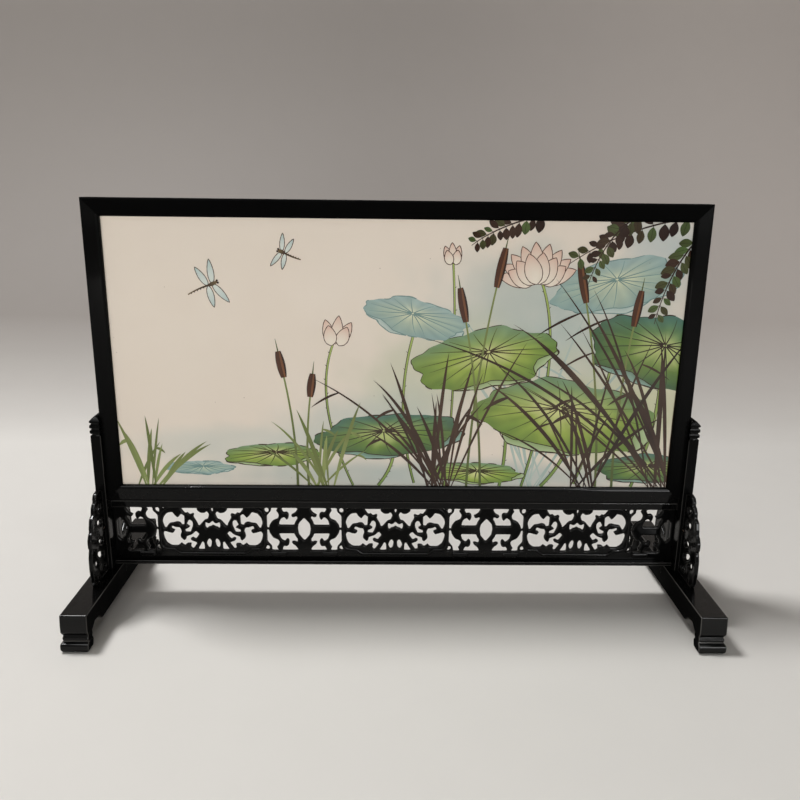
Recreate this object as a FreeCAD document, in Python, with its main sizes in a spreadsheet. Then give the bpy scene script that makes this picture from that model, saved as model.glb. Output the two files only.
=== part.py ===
"""Table screen: a framed porcelain plaque that lifts out of a stand with pierced apron and brackets.

The origin is on the table under the middle of the stand. X runs along the screen, the front faces -Y
and Z is up. All lengths are in millimetres.
"""
import FreeCAD
import Part
import Sketcher
import math
import os

# Each driving dimension has a name, a value and what it measures.
DRIVING = [
    ("plaque_width", 402, "porcelain plaque, side to side"),
    ("plaque_height", 196.5, "porcelain plaque, bottom to top"),
    ("plaque_thickness", 5, "porcelain plaque, front to back"),
    ("sight_cover", 4, "how far the frame's lip covers the plaque's edge"),
    ("plaque_gap", 0.5, "room round the plaque in the rebate"),
    ("rail_width", 12, "frame member, seen from the front"),
    ("frame_depth", 16, "frame member, front to back"),
    ("lip_thickness", 3.5, "frame's lip in front of the plaque"),
    ("frame_round", 1.6, "rounding of the frame's outer front edge"),
    ("key_leg", 10, "leg of the triangular key across a mitre"),
    ("key_thickness", 2, "key across a mitre, front to back"),
    ("joint_gap", 0.1, "room round keys, tenons, pegs and tongues"),
    ("padding_thickness", 1, "sheet between the plaque and the back board"),
    ("board_thickness", 3, "back board"),
    ("bead_width", 8, "bead behind the back board, seen from behind"),
    ("bead_thickness", 3.2, "bead behind the back board, front to back"),
    ("pin_diameter", 1.4, "pin through a bead into the frame"),
    ("pin_hold", 3, "how far a pin goes into the frame"),
    ("pin_pitch", 96, "room between the pins of a long bead"),
    ("post_width", 7.2, "post along X"),
    ("post_depth", 25, "post front to back"),
    ("post_height", 112.5, "post from the foot's top to the edge of its pyramid"),
    ("pyramid_rise", 3, "pyramid on the post"),
    ("pyramid_inset", 2.8, "how far the pyramid's ridge stands in from the post's sides"),
    ("ridge_pitch", 3.9, "from one groove of the post's ridged top to the next"),
    ("ridge_cut", 1.1, "depth of those grooves"),
    ("stile_bite", 1.8, "how far the frame's stile stands in the post's groove"),
    ("slide_gap", 0.4, "room round the stile in the post's groove"),
    ("tenon_thickness", 4.4, "tenon of the post along X"),
    ("tenon_depth", 15, "tenon of the post front to back"),
    ("tenon_length", 12, "tenon of the post, down into the foot"),
    ("peg_diameter", 3, "peg through the foot and the post's tenon"),
    ("foot_length", 156.6, "foot front to back"),
    ("foot_width", 18, "foot along X"),
    ("foot_height", 26.3, "foot from the table to its top"),
    ("foot_waist", 9.2, "underside of the foot's bar above the table"),
    ("bottom_rail_height", 3.2, "apron's bottom rail, which lies on the feet"),
    ("bottom_rail_depth", 12, "apron's bottom rail front to back"),
    ("top_rail_height", 6, "apron's top rail"),
    ("top_rail_depth", 10, "apron's top rail front to back"),
    ("rail_tenon", 3, "stub tenon of an apron rail in the post"),
    ("rail_shoulder", 0.6, "how much smaller that tenon is than its rail"),
    ("rail_chamfer", 1, "chamfer along an apron rail"),
    ("tongue_length", 1, "how far the panel stands in the groove of a rail"),
    ("panel_thickness", 3.2, "apron's fretwork panel"),
    ("panel_height", 42, "fretwork panel between the rails"),
    ("fret_height", 32.8, "pierced band of the panel"),
    ("fret_drop", 1.6, "top of the pierced band below the top rail"),
    ("fret_end", 4.4, "from the middle of the fretwork's last knot to the post"),
    ("knot_width", 55.4, "one knot of the fretwork, between two cartouches"),
    ("fret_round", 0.9, "largest rounding in the openings of the fretwork"),
    ("ring_width", 2.4, "raised ring round a cartouche"),
    ("ring_corner", 11, "outer corner of that ring"),
    ("relief", 0.7, "how far the ring and legs stand out of the panel"),
    ("sight_drop", 1.4, "how much lower an opening's lower sides are than its table says"),
    ("bracket_length", 29.2, "bracket along the foot"),
    ("bracket_height", 62.6, "bracket up the post"),
    ("bracket_thickness", 3, "bracket along X"),
    ("dowel_diameter", 1.6, "dowel of a bracket"),
    ("dowel_length", 8, "dowel of a bracket, half in each piece"),
    ("post_dowel_share", 0.525, "height of the upper dowel, as a share of the bracket's height"),
    ("foot_dowel_share", 0.68, "reach of the lower dowel, as a share of the bracket's length"),
]

# These follow from the driving dimensions.
WORKED_OUT = [
    ("frame_width", "=plaque_width - 2 * sight_cover + 2 * rail_width", "frame, outside"),
    ("frame_height", "=plaque_height - 2 * sight_cover + 2 * rail_width", "frame, outside"),
    ("rebate_width", "=sight_cover + plaque_gap", "rebate in a frame member"),
    ("plaque_back", "=-frame_depth / 2 + lip_thickness + plaque_thickness", "back of the plaque"),
    ("board_front", "=plaque_back + padding_thickness", "front of the back board"),
    ("board_back", "=board_front + board_thickness", "back of the back board"),
    ("post_inside", "=frame_width / 2 - stile_bite", "inner face of a post"),
    ("post_centre", "=post_inside + post_width / 2", "middle of a post"),
    ("post_top", "=foot_height + post_height", "edge of the pyramid above the table"),
    ("panel_bottom", "=foot_height + bottom_rail_height", "top of the bottom rail"),
    ("panel_top", "=panel_bottom + panel_height", "underside of the top rail"),
    ("frame_bottom", "=panel_top + top_rail_height", "top of the top rail, where the frame stands"),
    ("frame_middle", "=frame_bottom + frame_height / 2", "middle of the plaque above the table"),
    ("fret_middle", "=panel_top - fret_drop - fret_height / 2", "middle of the pierced band"),
    ("fret_period", "=( 2 * post_inside - 2 * fret_end ) / 3", "from one cartouche's middle to the next"),
    ("cartouche_width", "=fret_period - knot_width", "one cartouche of the fretwork"),
]

# Openings of the fretwork, in hundredths of half a module's width and half the pierced band's height,
# measured from the module's middle. Those of a cartouche are mirrored to its left half. They are as
# seen from above in front, where the panel's thickness hides the foot of each opening.
CARTOUCHE_OPENINGS = {
    "upper scroll": [(88, 1), (92.5, 30), (90, 52), (83, 73), (73, 78), (69, 62), (63.5, 49), (57, 70),
                     (51.5, 60), (52, 20), (57, 22), (60, 36), (66, 39), (72, 33), (80, 32), (83.5, 18)],
    "lower scroll": [(90.5, -48), (92.5, -28), (89, -14), (81, -22), (74, -25), (69, -8), (77, 3),
                     (75, 13), (67, 3), (60.5, 3), (57.5, -16), (60.5, -30), (60.5, -46), (53.5, -62),
                     (50, -54), (50, -41), (38, -31), (31, -13), (25.5, -28), (33, -47), (38.5, -37),
                     (43.5, -50), (40, -62), (29.5, -71), (39, -96), (43, -90), (41, -75), (44.5, -66),
                     (50, -67), (54, -80), (61, -64), (65.5, -79), (79, -79), (87, -65)],
    "hook": [(44.5, 37), (41, 41), (36.5, 31), (36.5, 15), (42, -13), (52, -12), (51, -6), (45.5, -1),
             (42.5, 5), (43, 15), (48.7, 23), (45.5, 29)],
    "upper leaf": [(59, 100), (27.5, 100), (28, 86), (21, 73), (13, 73), (9.5, 84), (5.5, 67), (9, 51),
                   (15, 48), (20, 32), (27, 13), (28.5, 30), (35.5, 57), (33, 67), (36, 80), (42, 72),
                   (46, 84), (50.5, 78)],
    "teardrop": [(6.8, -48), (3, -63), (4.4, -82), (8.6, -93), (13.4, -77), (10.5, -60)],
    "lower leaf": [(20, -62), (17, -75), (16.8, -98), (30.5, -98), (23.5, -80)],
}
# The eye lies across the middle of a cartouche, so only its right half is given, from top to bottom.
CARTOUCHE_EYE = [(0, 38), (4, 24), (8.3, 22), (13.8, 33), (13.8, 10), (11.6, 3), (8.3, 14), (4.4, 15),
                 (0, 23)]
# Small openings of a cartouche: middle and half size. Those off the middle are mirrored.
CARTOUCHE_DOTS = {
    "top slit": ((0, 93), (1.8, 7)),
    "upper corner": ((100.5, 92), (4.2, 8.5)),
    "upper spot": ((89.5, 97), (1.7, 4)),
    "lower corner": ((100.5, -90), (4.2, 7)),
}
# Openings of a knot, mirrored to its four quarters.
KNOT_OPENINGS = {
    "waisted": [(15, 100), (23, 86), (31, 77), (35, 67), (32, 55), (26, 54), (19.5, 62), (17.5, 52),
                (24, 38), (26.5, 24), (68.5, 24), (62.5, 46), (53, 57), (49.5, 47), (45.5, 41), (41, 52),
                (40, 68), (42, 81), (47, 89), (55, 84), (61, 100)],
    "border": [(88, 100), (67.5, 100), (75, 90), (71, 80), (66.5, 66), (70, 55), (84, 46), (93, 21),
               (94.5, 5), (99.5, 5), (99.5, 63), (87, 85)],
}
KNOT_LOZENGE = [(0, 53), (14.5, 25), (17, 0), (14.5, -25), (0, -53), (-14.5, -25), (-17, 0), (-14.5, 25)]
# The lozenge of the half knots at the panel's ends, with its straight side towards the post.
END_LOZENGE = [(0, 53), (-14.5, 25), (-17, 0), (-14.5, -25), (0, -53), (10, -36), (10, 36)]
KNOT_LEG = [(46, -111), (91, -111), (91, -129), (84, -137), (53, -137), (46, -129)]
# How far the cartouche's ring steps down over the plain strip, and where, in the same hundredths.
RING_FOOT = 108
RING_DIP = 129
RING_STEP = (74, 63)

# Outline and openings of a bracket, in hundredths of its length (away from the post) and height.
BRACKET_OUTLINE = [(0, 0), (88, 0), (97, 6), (101, 20), (100, 34), (95, 42), (91, 44), (97, 47), (97, 55),
                   (88, 62), (82, 62.5), (81.5, 68), (75, 77), (66, 79), (62, 79.5), (60, 86), (51, 91),
                   (43, 91), (46, 95), (38, 100), (18, 101.5), (0, 98)]
BRACKET_OPENINGS = {
    "top slit": [(13, 78), (30, 75), (42, 80), (44, 86), (30, 88), (15, 86)],
    "upper curl": [(12, 60), (32, 57), (52, 63), (56, 71), (40, 70), (26, 66), (14, 70)],
    "middle curl": [(13, 39), (30, 36), (52, 41), (56, 47), (34, 48), (16, 45)],
    "long comma": [(16, 20), (30, 19), (64, 29), (74, 36), (58, 36), (34, 31), (18, 27)],
    "outer slit": [(48, 17), (66, 16), (86, 22), (85, 30), (70, 26), (52, 22)],
    "low curl": [(14, 6.5), (38, 6), (54, 10), (46, 14), (28, 14), (15, 12)],
}
BRACKET_ROUND = 1.1

# Side of a foot near its front end: distance behind the end, height, and rounding of each corner.
FOOT_TOP_ROUND = 0.8
FOOT_END = [
    (-0.8, 19, 6),
    (-0.9, 14, 3),
    (1.6, 10.8, 0.8),
    (0.4, 9.6, 0.6),
    (0.4, 8, 0.6),
    (1.2, 7.2, 0.5),
    (-2.6, 6.2, 2),
    (-2.6, 0, 2.8),
    (6, 0, 2.8),
    (9, 10.8, 3),
    (12.6, 15.2, 3.5),
    (19.8, 14.2, 3.5),
]
FOOT_OGEE = (26.5, 3.5)
# The same seen from the front: distance in from the side, height, and rounding of each corner.
FOOT_SIDE = [
    (0, 14, 3),
    (0.6, 10.6, 0.8),
    (0.3, 9.4, 0.6),
    (0.6, 7.2, 0.5),
    (-0.4, 6.2, 1.5),
    (-0.4, 0, 3),
]

# Half the rebate that the plaque lies in.
REBATE_ACROSS = "( plaque_width / 2 + plaque_gap )"
REBATE_UP = "( plaque_height / 2 + plaque_gap )"
# Depth, underside and top of the tenons of the apron's rails.
TOP_RAIL = ("top_rail_depth", "panel_top + tongue_length + joint_gap", "frame_bottom - rail_shoulder")
BOTTOM_RAIL = ("bottom_rail_depth", "foot_height + rail_shoulder",
               "panel_bottom - tongue_length - joint_gap")

doc = FreeCAD.newDocument("table_screen")
dims = doc.addObject("Spreadsheet::Sheet", "dims")
made = []


def fill_sheet():
    """Write the driving dimensions and what follows from them into the sheet."""
    for row, (alias, content, meaning) in enumerate(DRIVING + WORKED_OUT, start=1):
        dims.set(f"A{row}", meaning)
        dims.set(f"B{row}", str(content))
        dims.setAlias(f"B{row}", alias)
    doc.recompute()


def value(expression):
    """The number that an expression over the sheet's names has now."""
    return float(dims.evalExpression(bind(expression)))


def bind(expression):
    """The expression with each of the sheet's names written as a cell of the sheet."""
    words = expression.replace("(", "( ").replace(")", " )").split()
    names = {alias for alias, _, _ in DRIVING + WORKED_OUT}
    return " ".join(f"dims.{word}" if word in names else word for word in words)


def tie(thing, **expressions):
    """Bind properties of a document object to expressions over the sheet's names."""
    for name, expression in expressions.items():
        thing.setExpression(name.replace("__", "."), bind(expression))


def place(thing, x="0", y="0", z="0", turn=0, about=(0, 0, 1)):
    """Set a sub-part's Placement, with its base bound to the sheet."""
    thing.Placement = FreeCAD.Placement(FreeCAD.Vector(), FreeCAD.Rotation(FreeCAD.Vector(about), turn))
    tie(thing, Placement__Base__x=x, Placement__Base__y=y, Placement__Base__z=z)


def keep(thing, label):
    """Name a finished sub-part."""
    thing.Label = label
    made.append(thing)
    return thing


def sketch_on(body, role, outlines, lift="0"):
    """A sketch of closed outlines on one of the body's own planes, every corner tied to the sheet."""
    sketch = body.newObject("Sketcher::SketchObject", f"{body.Name}_sketch")
    plane = next(f for f in body.Origin.OriginFeatures if f.Role == role)
    sketch.AttachmentSupport = (plane, "")
    sketch.MapMode = "FlatFace"
    tie(sketch, AttachmentOffset__Base__z=lift)
    for corners in outlines:
        first = sketch.GeometryCount
        count = len(corners)
        points = [FreeCAD.Vector(value(across), value(up), 0) for across, up in corners]
        for i in range(count):
            sketch.addGeometry(Part.LineSegment(points[i], points[(i + 1) % count]))
        for i in range(count):
            sketch.addConstraint(Sketcher.Constraint("Coincident", first + i, 2, first + (i + 1) % count, 1))
        for i, (across, up) in enumerate(corners):
            for kind, expression in (("DistanceX", across), ("DistanceY", up)):
                rule = Sketcher.Constraint(kind, -1, 1, first + i, 1, value(expression))
                number = sketch.addConstraint(rule)
                sketch.setExpression(f"Constraints[{number}]", bind(expression))
    return sketch


def rectangle(left, low, right, high):
    """Corners of an upright rectangle."""
    return [(left, low), (right, low), (right, high), (left, high)]


def pad(body, sketch, length, symmetric=True):
    """Raise a sketch into a solid, half to each side of its plane or all to one side."""
    feature = body.newObject("PartDesign::Pad", f"{body.Name}_pad")
    feature.Profile = sketch
    feature.SideType = "Symmetric" if symmetric else "One side"
    tie(feature, Length=length)
    doc.recompute()
    return feature


def pocket(body, sketch, length, symmetric=True, reverse=False):
    """Cut a sketch out of the body, and make sure that it took something away."""
    before = body.Shape.Volume
    feature = body.newObject("PartDesign::Pocket", f"{body.Name}_pocket")
    feature.Profile = sketch
    feature.SideType = "Symmetric" if symmetric else "One side"
    feature.Reversed = reverse
    tie(feature, Length=length)
    doc.recompute()
    if body.Shape.Volume >= before:
        raise RuntimeError(f"{feature.Name} cut nothing")
    return feature


def new_body(name):
    """An empty body."""
    return doc.addObject("PartDesign::Body", name)


def rounded_wire(corners, radii):
    """A closed wire through corners, each rounded as far as its two sides allow."""
    count = len(corners)
    points = [FreeCAD.Vector(*corner) for corner in corners]
    arcs = []
    for i, corner in enumerate(points):
        back = points[i - 1] - corner
        ahead = points[(i + 1) % count] - corner
        half_turn = (math.pi - back.getAngle(ahead)) / 2
        room = 0.48 * min(back.Length, ahead.Length)
        reach = min(room, radii[i] * math.tan(half_turn))
        start = corner + FreeCAD.Vector(back).normalize() * reach
        end = corner + FreeCAD.Vector(ahead).normalize() * reach
        inward = (FreeCAD.Vector(back).normalize() + FreeCAD.Vector(ahead).normalize()).normalize()
        radius = reach / math.tan(half_turn)
        middle = corner + inward * (radius / math.cos(half_turn) - radius)
        arcs.append((start, middle, end))
    edges = []
    for i, (start, middle, end) in enumerate(arcs):
        edges.append(Part.Arc(start, middle, end).toShape())
        edges.append(Part.LineSegment(end, arcs[(i + 1) % count][0]).toShape())
    return Part.Wire(edges)


def upright_wire(corners, radius, y):
    """A rounded wire on a plane of constant y."""
    return rounded_wire([(x, y, z) for x, z in corners], [radius] * len(corners))


def flat_face(wires):
    """One flat face: the outer wire less the wires inside it."""
    return Part.makeFace(wires, "Part::FaceMakerBullseye")


def raised(wires, depth):
    """The face of some wires, raised along +Y."""
    return flat_face(wires).extrude(FreeCAD.Vector(0, depth, 0))


def shaped(label, shape):
    """A sub-part with a ready shape."""
    feature = doc.addObject("Part::Feature", label)
    feature.Shape = shape
    return feature


def bored(base, label, tools):
    """A sub-part less its tools, as one cut."""
    group = doc.addObject("Part::MultiFuse", f"{label}_tools")
    group.Shapes = tools
    cut = doc.addObject("Part::Cut", f"{label}_cut")
    cut.Base = base
    cut.Tool = group
    return cut


def block(name, along, deep, high, x, y, z):
    """A box given by its sizes and its lowest corner."""
    thing = doc.addObject("Part::Box", name)
    tie(thing, Length=along, Width=deep, Height=high)
    place(thing, x, y, z)
    return thing


def rod(name, diameter, length, x, y, z, turn=0, about=(0, 0, 1)):
    """A round rod that starts at a point and runs along +Z before it is turned."""
    thing = doc.addObject("Part::Cylinder", name)
    tie(thing, Radius=f"( {diameter} ) / 2", Height=length)
    place(thing, x, y, z, turn, about)
    return thing


def grouped(label, pieces):
    """Like pieces that share one node."""
    group = doc.addObject("Part::Compound", label)
    group.Links = pieces
    return keep(group, label)


def frame_member(label, length, turn, x, z):
    """A mitred frame member, its outer edge on its own X axis, turned into place about Y."""
    body = new_body(label)
    half = f"{length} / 2"
    front = [(f"0 - {half}", "0"), (half, "0"), (f"{half} - rail_width", "0 - rail_width"),
             (f"rail_width - {half}", "0 - rail_width")]
    pad(body, sketch_on(body, "XZ_Plane", [front]), "frame_depth")
    wall = "( rail_width - rebate_width )"
    rebate = [(f"{wall} - {half}", f"0 - {wall}"), (f"{half} - {wall}", f"0 - {wall}"),
              (f"{half} - rail_width - 1", "0 - rail_width - 1"),
              (f"rail_width + 1 - {half}", "0 - rail_width - 1")]
    seat = sketch_on(body, "XZ_Plane", [rebate], lift="0 - lip_thickness + frame_depth / 2")
    pocket(body, seat, "frame_depth", symmetric=False)
    reach = "( key_leg + 2 * joint_gap )"
    slots = [[(f"{side} * ( {half} + 1 )", "1"), (f"{side} * ( {half} - {reach} - 1 )", "1"),
              (f"{side} * ( {half} + 1 )", f"0 - {reach} - 1")] for side in ("1", "-1")]
    pocket(body, sketch_on(body, "XZ_Plane", slots), "key_thickness + 2 * joint_gap")
    squared = body.Tip
    front_y = -value("frame_depth") / 2
    edges = [f"Edge{i}" for i, edge in enumerate(squared.Shape.Edges, start=1)
             if all(abs(v.Z) < 1e-6 and abs(v.Y - front_y) < 1e-6 for v in edge.Vertexes)]
    soften = body.newObject("PartDesign::Fillet", f"{body.Name}_round")
    soften.Base = (squared, edges)
    tie(soften, Radius="frame_round")
    place(body, x, "0", z, turn, (0, 1, 0))
    keep(body, label)


def frame_members():
    """The four members of the frame, and the keys across its mitres."""
    top = "frame_bottom + frame_height"
    side = "frame_width / 2"
    frame_member("frame_top_rail", "frame_width", 0, "0", top)
    frame_member("frame_bottom_rail", "frame_width", 180, "0", "frame_bottom")
    frame_member("frame_left_stile", "frame_height", -90, f"0 - {side}", "frame_middle")
    frame_member("frame_right_stile", "frame_height", 90, side, "frame_middle")
    keys = []
    for turn, x, z in ((0, f"0 - {side}", "frame_bottom"), (90, f"0 - {side}", top),
                       (180, side, top), (270, side, "frame_bottom")):
        body = new_body("corner_key")
        triangle = [("0", "0"), ("key_leg", "0"), ("0", "key_leg")]
        pad(body, sketch_on(body, "XZ_Plane", [triangle]), "key_thickness")
        place(body, x, "0", z, turn, (0, 1, 0))
        keys.append(body)
    grouped("corner_keys", keys)


def sheet_in_frame(label, thickness, front):
    """A flat sheet of the plaque's size in the frame's rebate."""
    body = new_body(label)
    outline = rectangle("0 - plaque_width / 2", "0 - plaque_height / 2",
                        "plaque_width / 2", "plaque_height / 2")
    pad(body, sketch_on(body, "XZ_Plane", [outline]), thickness)
    place(body, "0", f"{front} + {thickness} / 2", "frame_middle")
    keep(body, label)


def bead_pin(upright, way, step, room="0"):
    """A pin from a bead into the frame beside it, or the hole for it. Way 1 is up or right."""
    wide = f"pin_diameter + {room}"
    length = "bead_width + pin_hold"
    y = "board_back + bead_thickness / 2"
    along = f"{step} * pin_pitch"
    if upright:
        start = (f"{way} * ( {REBATE_ACROSS} - bead_width )", y, f"frame_middle + {along}")
        return rod("bead_pin", wide, length, *start, turn=90 * way, about=(0, 1, 0))
    start = (along, y, f"frame_middle + {way} * ( {REBATE_UP} - bead_width )")
    return rod("bead_pin", wide, length, *start, turn=0 if way > 0 else 180, about=(1, 0, 0))


def plaque_and_back():
    """The plaque, and what holds it in the frame from behind."""
    sheet_in_frame("porcelain_plaque", "plaque_thickness", "lip_thickness - frame_depth / 2")
    sheet_in_frame("plaque_padding", "padding_thickness", "plaque_back")
    sheet_in_frame("back_board", "board_thickness", "board_front")
    pins = []
    for name, upright, way in (("top", False, 1), ("bottom", False, -1),
                               ("left", True, -1), ("right", True, 1)):
        label = f"back_bead_{name}"
        if upright:
            x = f"{way} * {REBATE_ACROSS} - ( {way} + 1 ) / 2 * bead_width"
            z = f"frame_middle - {REBATE_UP} + bead_width"
            size = ("bead_width", "bead_thickness", f"2 * {REBATE_UP} - 2 * bead_width")
        else:
            x = f"0 - {REBATE_ACROSS}"
            z = f"frame_middle + {way} * {REBATE_UP} - ( {way} + 1 ) / 2 * bead_width"
            size = (f"2 * {REBATE_ACROSS}", "bead_thickness", "bead_width")
        strip = block(f"{label}_strip", *size, x, "board_back", z)
        steps = (-0.5, 0.5) if upright else (-1.5, -0.5, 0.5, 1.5)
        holes = [bead_pin(upright, way, step, "2 * joint_gap") for step in steps]
        pins += [bead_pin(upright, way, step) for step in steps]
        keep(bored(strip, label, holes), label)
    grouped("bead_pins", pins)


def post(label, side):
    """A post with its tenon, ridged top, pyramid and groove, the groove towards its own -X."""
    body = new_body(f"{label}_shaft")
    deep = "post_depth / 2"
    wide = "post_width / 2"
    ridges = [f"post_height - ( {number} + 0.5 ) * ridge_pitch" for number in range(3)]
    top = "post_height + pyramid_rise"
    back_edge = [(deep, "0")]
    for level in reversed(ridges):
        back_edge += [(deep, f"{level} - ridge_cut"), (f"{deep} - ridge_cut", level),
                      (deep, f"{level} + ridge_cut")]
    back_edge += [(deep, "post_height"), (f"{deep} - pyramid_inset", top)]
    tenon = [("0 - tenon_depth / 2", "0"), ("0 - tenon_depth / 2", "0 - tenon_length"),
             ("tenon_depth / 2", "0 - tenon_length"), ("tenon_depth / 2", "0")]
    front_edge = [(f"0 - ( {across} )", up) for across, up in reversed(back_edge)]
    pad(body, sketch_on(body, "YZ_Plane", [tenon + back_edge + front_edge]), "post_width")
    cuts = []
    for way in ("1", "-1"):
        cheek = f"{way} * tenon_thickness / 2"
        outside = f"{way} * post_width"
        cuts.append([(cheek, "0"), (cheek, "0 - post_height"), (outside, "0 - post_height"), (outside, "0")])
        cuts.append([(f"{way} * ( {wide} )", "post_height"), (f"{way} * ( {wide} - pyramid_inset )", top),
                     (outside, top), (outside, "post_height")])
        for level in ridges:
            nose = f"{way} * ( {wide} + ridge_cut )"
            cuts.append([(f"{way} * ( {wide} - ridge_cut )", level), (nose, f"{level} + 2 * ridge_cut"),
                         (nose, f"{level} - 2 * ridge_cut")])
    pocket(body, sketch_on(body, "XZ_Plane", cuts), "2 * post_depth")
    groove = rectangle("0 - post_width", "0 - frame_depth / 2 - slide_gap",
                       f"stile_bite + slide_gap - {wide}", "frame_depth / 2 + slide_gap")
    floor = sketch_on(body, "XY_Plane", [groove], lift="frame_bottom - foot_height")
    pocket(body, floor, "post_height", symmetric=False, reverse=True)
    mortises = [rail_tenon(*rail, room="joint_gap", base="foot_height") for rail in (TOP_RAIL, BOTTOM_RAIL)]
    face = sketch_on(body, "YZ_Plane", mortises, lift=f"0 - {wide}")
    pocket(body, face, "rail_tenon + joint_gap", symmetric=False, reverse=True)
    place(body, f"{side} * post_centre", "0", "foot_height", 0 if side > 0 else 180)
    keep(bored(body, label, [peg(side, "2 * joint_gap")] + post_dowels(side, "2 * joint_gap")), label)


def rail_tenon(depth, low, high, room="0", base="0"):
    """Section of an apron rail's tenon, or of its mortise with room round it, measured from a height."""
    half = f"( {depth} / 2 - rail_shoulder + {room} )"
    return rectangle(f"0 - {half}", f"{low} - {room} - ( {base} )", half, f"{high} + {room} - ( {base} )")


def peg(side, room="0"):
    """The peg through a foot and its post's tenon, or the hole for it."""
    middle = "foot_height - tenon_length / 2"
    start = f"{side} * post_centre - foot_width / 2"
    wide = f"peg_diameter + {room}"
    return rod("peg", wide, "foot_width", start, "0", middle, turn=90, about=(0, 1, 0))


def post_dowels(side, room="0"):
    """The dowels between a post and its two brackets, or the holes for them."""
    wide = f"dowel_diameter + {room}"
    x = f"{side} * post_centre"
    z = "foot_height + bracket_height * post_dowel_share"
    return [rod("post_dowel", wide, "dowel_length", x, f"{way} * ( post_depth / 2 - dowel_length / 2 )", z,
                turn=-90 * way, about=(1, 0, 0)) for way in (1, -1)]


def foot_dowels(side, room="0"):
    """The dowels between a foot and its two brackets, or the holes for them."""
    wide = f"dowel_diameter + {room}"
    x = f"{side} * post_centre"
    reach = "( post_depth / 2 + bracket_length * foot_dowel_share )"
    z = "foot_height - dowel_length / 2"
    return [rod("foot_dowel", wide, "dowel_length", x, f"{way} * {reach}", z) for way in (1, -1)]


def foot(label, side):
    """A foot: its side outline with a scroll pad at each end, less the mortise and the holes."""
    half = value("foot_length") / 2
    width = value("foot_width")
    ogee_reach, ogee_round = FOOT_OGEE
    front = [(0, value("foot_height"), FOOT_TOP_ROUND)] + FOOT_END
    front.append((ogee_reach, value("foot_waist"), ogee_round))
    corners = [(behind - half, up, radius) for behind, up, radius in front]
    corners += [(half - behind, up, radius) for behind, up, radius in reversed(front)]
    wire = rounded_wire([(-width, y, z) for y, z, _ in corners], [radius for _, _, radius in corners])
    along = Part.Face(wire).extrude(FreeCAD.Vector(2 * width, 0, 0))
    flank = [(0, value("foot_height") + 1, 0.1)] + FOOT_SIDE
    corners = [(width / 2 - inset, up, radius) for inset, up, radius in flank]
    corners += [(inset - width / 2, up, radius) for inset, up, radius in reversed(flank)]
    wire = rounded_wire([(x, -2 * half, z) for x, z, _ in corners], [radius for _, _, radius in corners])
    bar = shaped(f"{label}_bar", along.common(raised([wire], 4 * half)))
    place(bar, f"{side} * post_centre")
    mortise = block(f"{label}_mortise", "tenon_thickness + 2 * joint_gap", "tenon_depth + 2 * joint_gap",
                    "tenon_length + joint_gap", f"{side} * post_centre - tenon_thickness / 2 - joint_gap",
                    "0 - tenon_depth / 2 - joint_gap", "foot_height - tenon_length - joint_gap")
    holes = [mortise, peg(side, "2 * joint_gap")] + foot_dowels(side, "2 * joint_gap")
    keep(bored(bar, label, holes), label)


def bracket(label, side, way):
    """A pierced bracket, way -1 in front of its post and 1 behind it."""
    thick = value("bracket_thickness")
    across = value("bracket_length") / 100
    up = value("bracket_height") / 100
    wires = []
    for outline in [BRACKET_OUTLINE] + list(BRACKET_OPENINGS.values()):
        corners = [(-thick / 2, -p * across, z * up) for p, z in outline]
        wires.append(rounded_wire(corners, [BRACKET_ROUND] * len(corners)))
    plate = shaped(f"{label}_plate", flat_face(wires).extrude(FreeCAD.Vector(thick, 0, 0)))
    place(plate, f"{side} * post_centre", f"{way} * post_depth / 2", "foot_height", 0 if way < 0 else 180)
    holes = post_dowels(side, "2 * joint_gap") + foot_dowels(side, "2 * joint_gap")
    keep(bored(plate, label, holes), label)


def apron_rail(label, depth, low, high, groove_below, tenon):
    """An apron rail with a groove for the panel, two chamfers away from it and a tenon at each end."""
    body = new_body(label)
    half = f"{depth} / 2"
    slot = "( panel_thickness / 2 + joint_gap )"
    grooved, plain, way = (low, high, "1") if groove_below else (high, low, "-1")
    floor = f"{grooved} + {way} * ( tongue_length + joint_gap )"
    shoulder = f"{plain} - {way} * rail_chamfer"
    right = [(slot, floor), (slot, grooved), (half, grooved), (half, shoulder),
             (f"{half} - rail_chamfer", plain)]
    left = [(f"0 - ( {across} )", up) for across, up in reversed(right)]
    pad(body, sketch_on(body, "YZ_Plane", [right + left]), "2 * post_inside")
    pad(body, sketch_on(body, "YZ_Plane", [rail_tenon(*tenon)]), "2 * post_inside + 2 * rail_tenon")
    place(body)
    keep(body, label)


def mirrored(corners, flip_across, flip_up):
    """Corners mirrored across the module's middle lines, as asked."""
    return [(-u if flip_across else u, -w if flip_up else w) for u, w in corners]


def ellipse(middle, size, steps=8):
    """Corners that a rounded wire turns into an oval."""
    turns = [2 * math.pi * (step + 0.5) / steps for step in range(steps)]
    return [(middle[0] + size[0] * math.cos(turn), middle[1] + size[1] * math.sin(turn)) for turn in turns]


def cartouche_outlines():
    """All openings of one cartouche, in hundredths."""
    outlines = [mirrored(corners, flip, False) for corners in CARTOUCHE_OPENINGS.values()
                for flip in (False, True)]
    outlines.append(CARTOUCHE_EYE + mirrored(CARTOUCHE_EYE[-2:0:-1], True, False))
    for middle, size in CARTOUCHE_DOTS.values():
        outlines.append(ellipse(middle, size))
        if middle[0]:
            outlines.append(ellipse((-middle[0], middle[1]), size))
    return outlines


def knot_outlines(sides):
    """The openings of a knot on the given sides of its middle, in hundredths."""
    return [mirrored(corners, side < 0, low) for corners in KNOT_OPENINGS.values()
            for side in sides for low in (False, True)]


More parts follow.
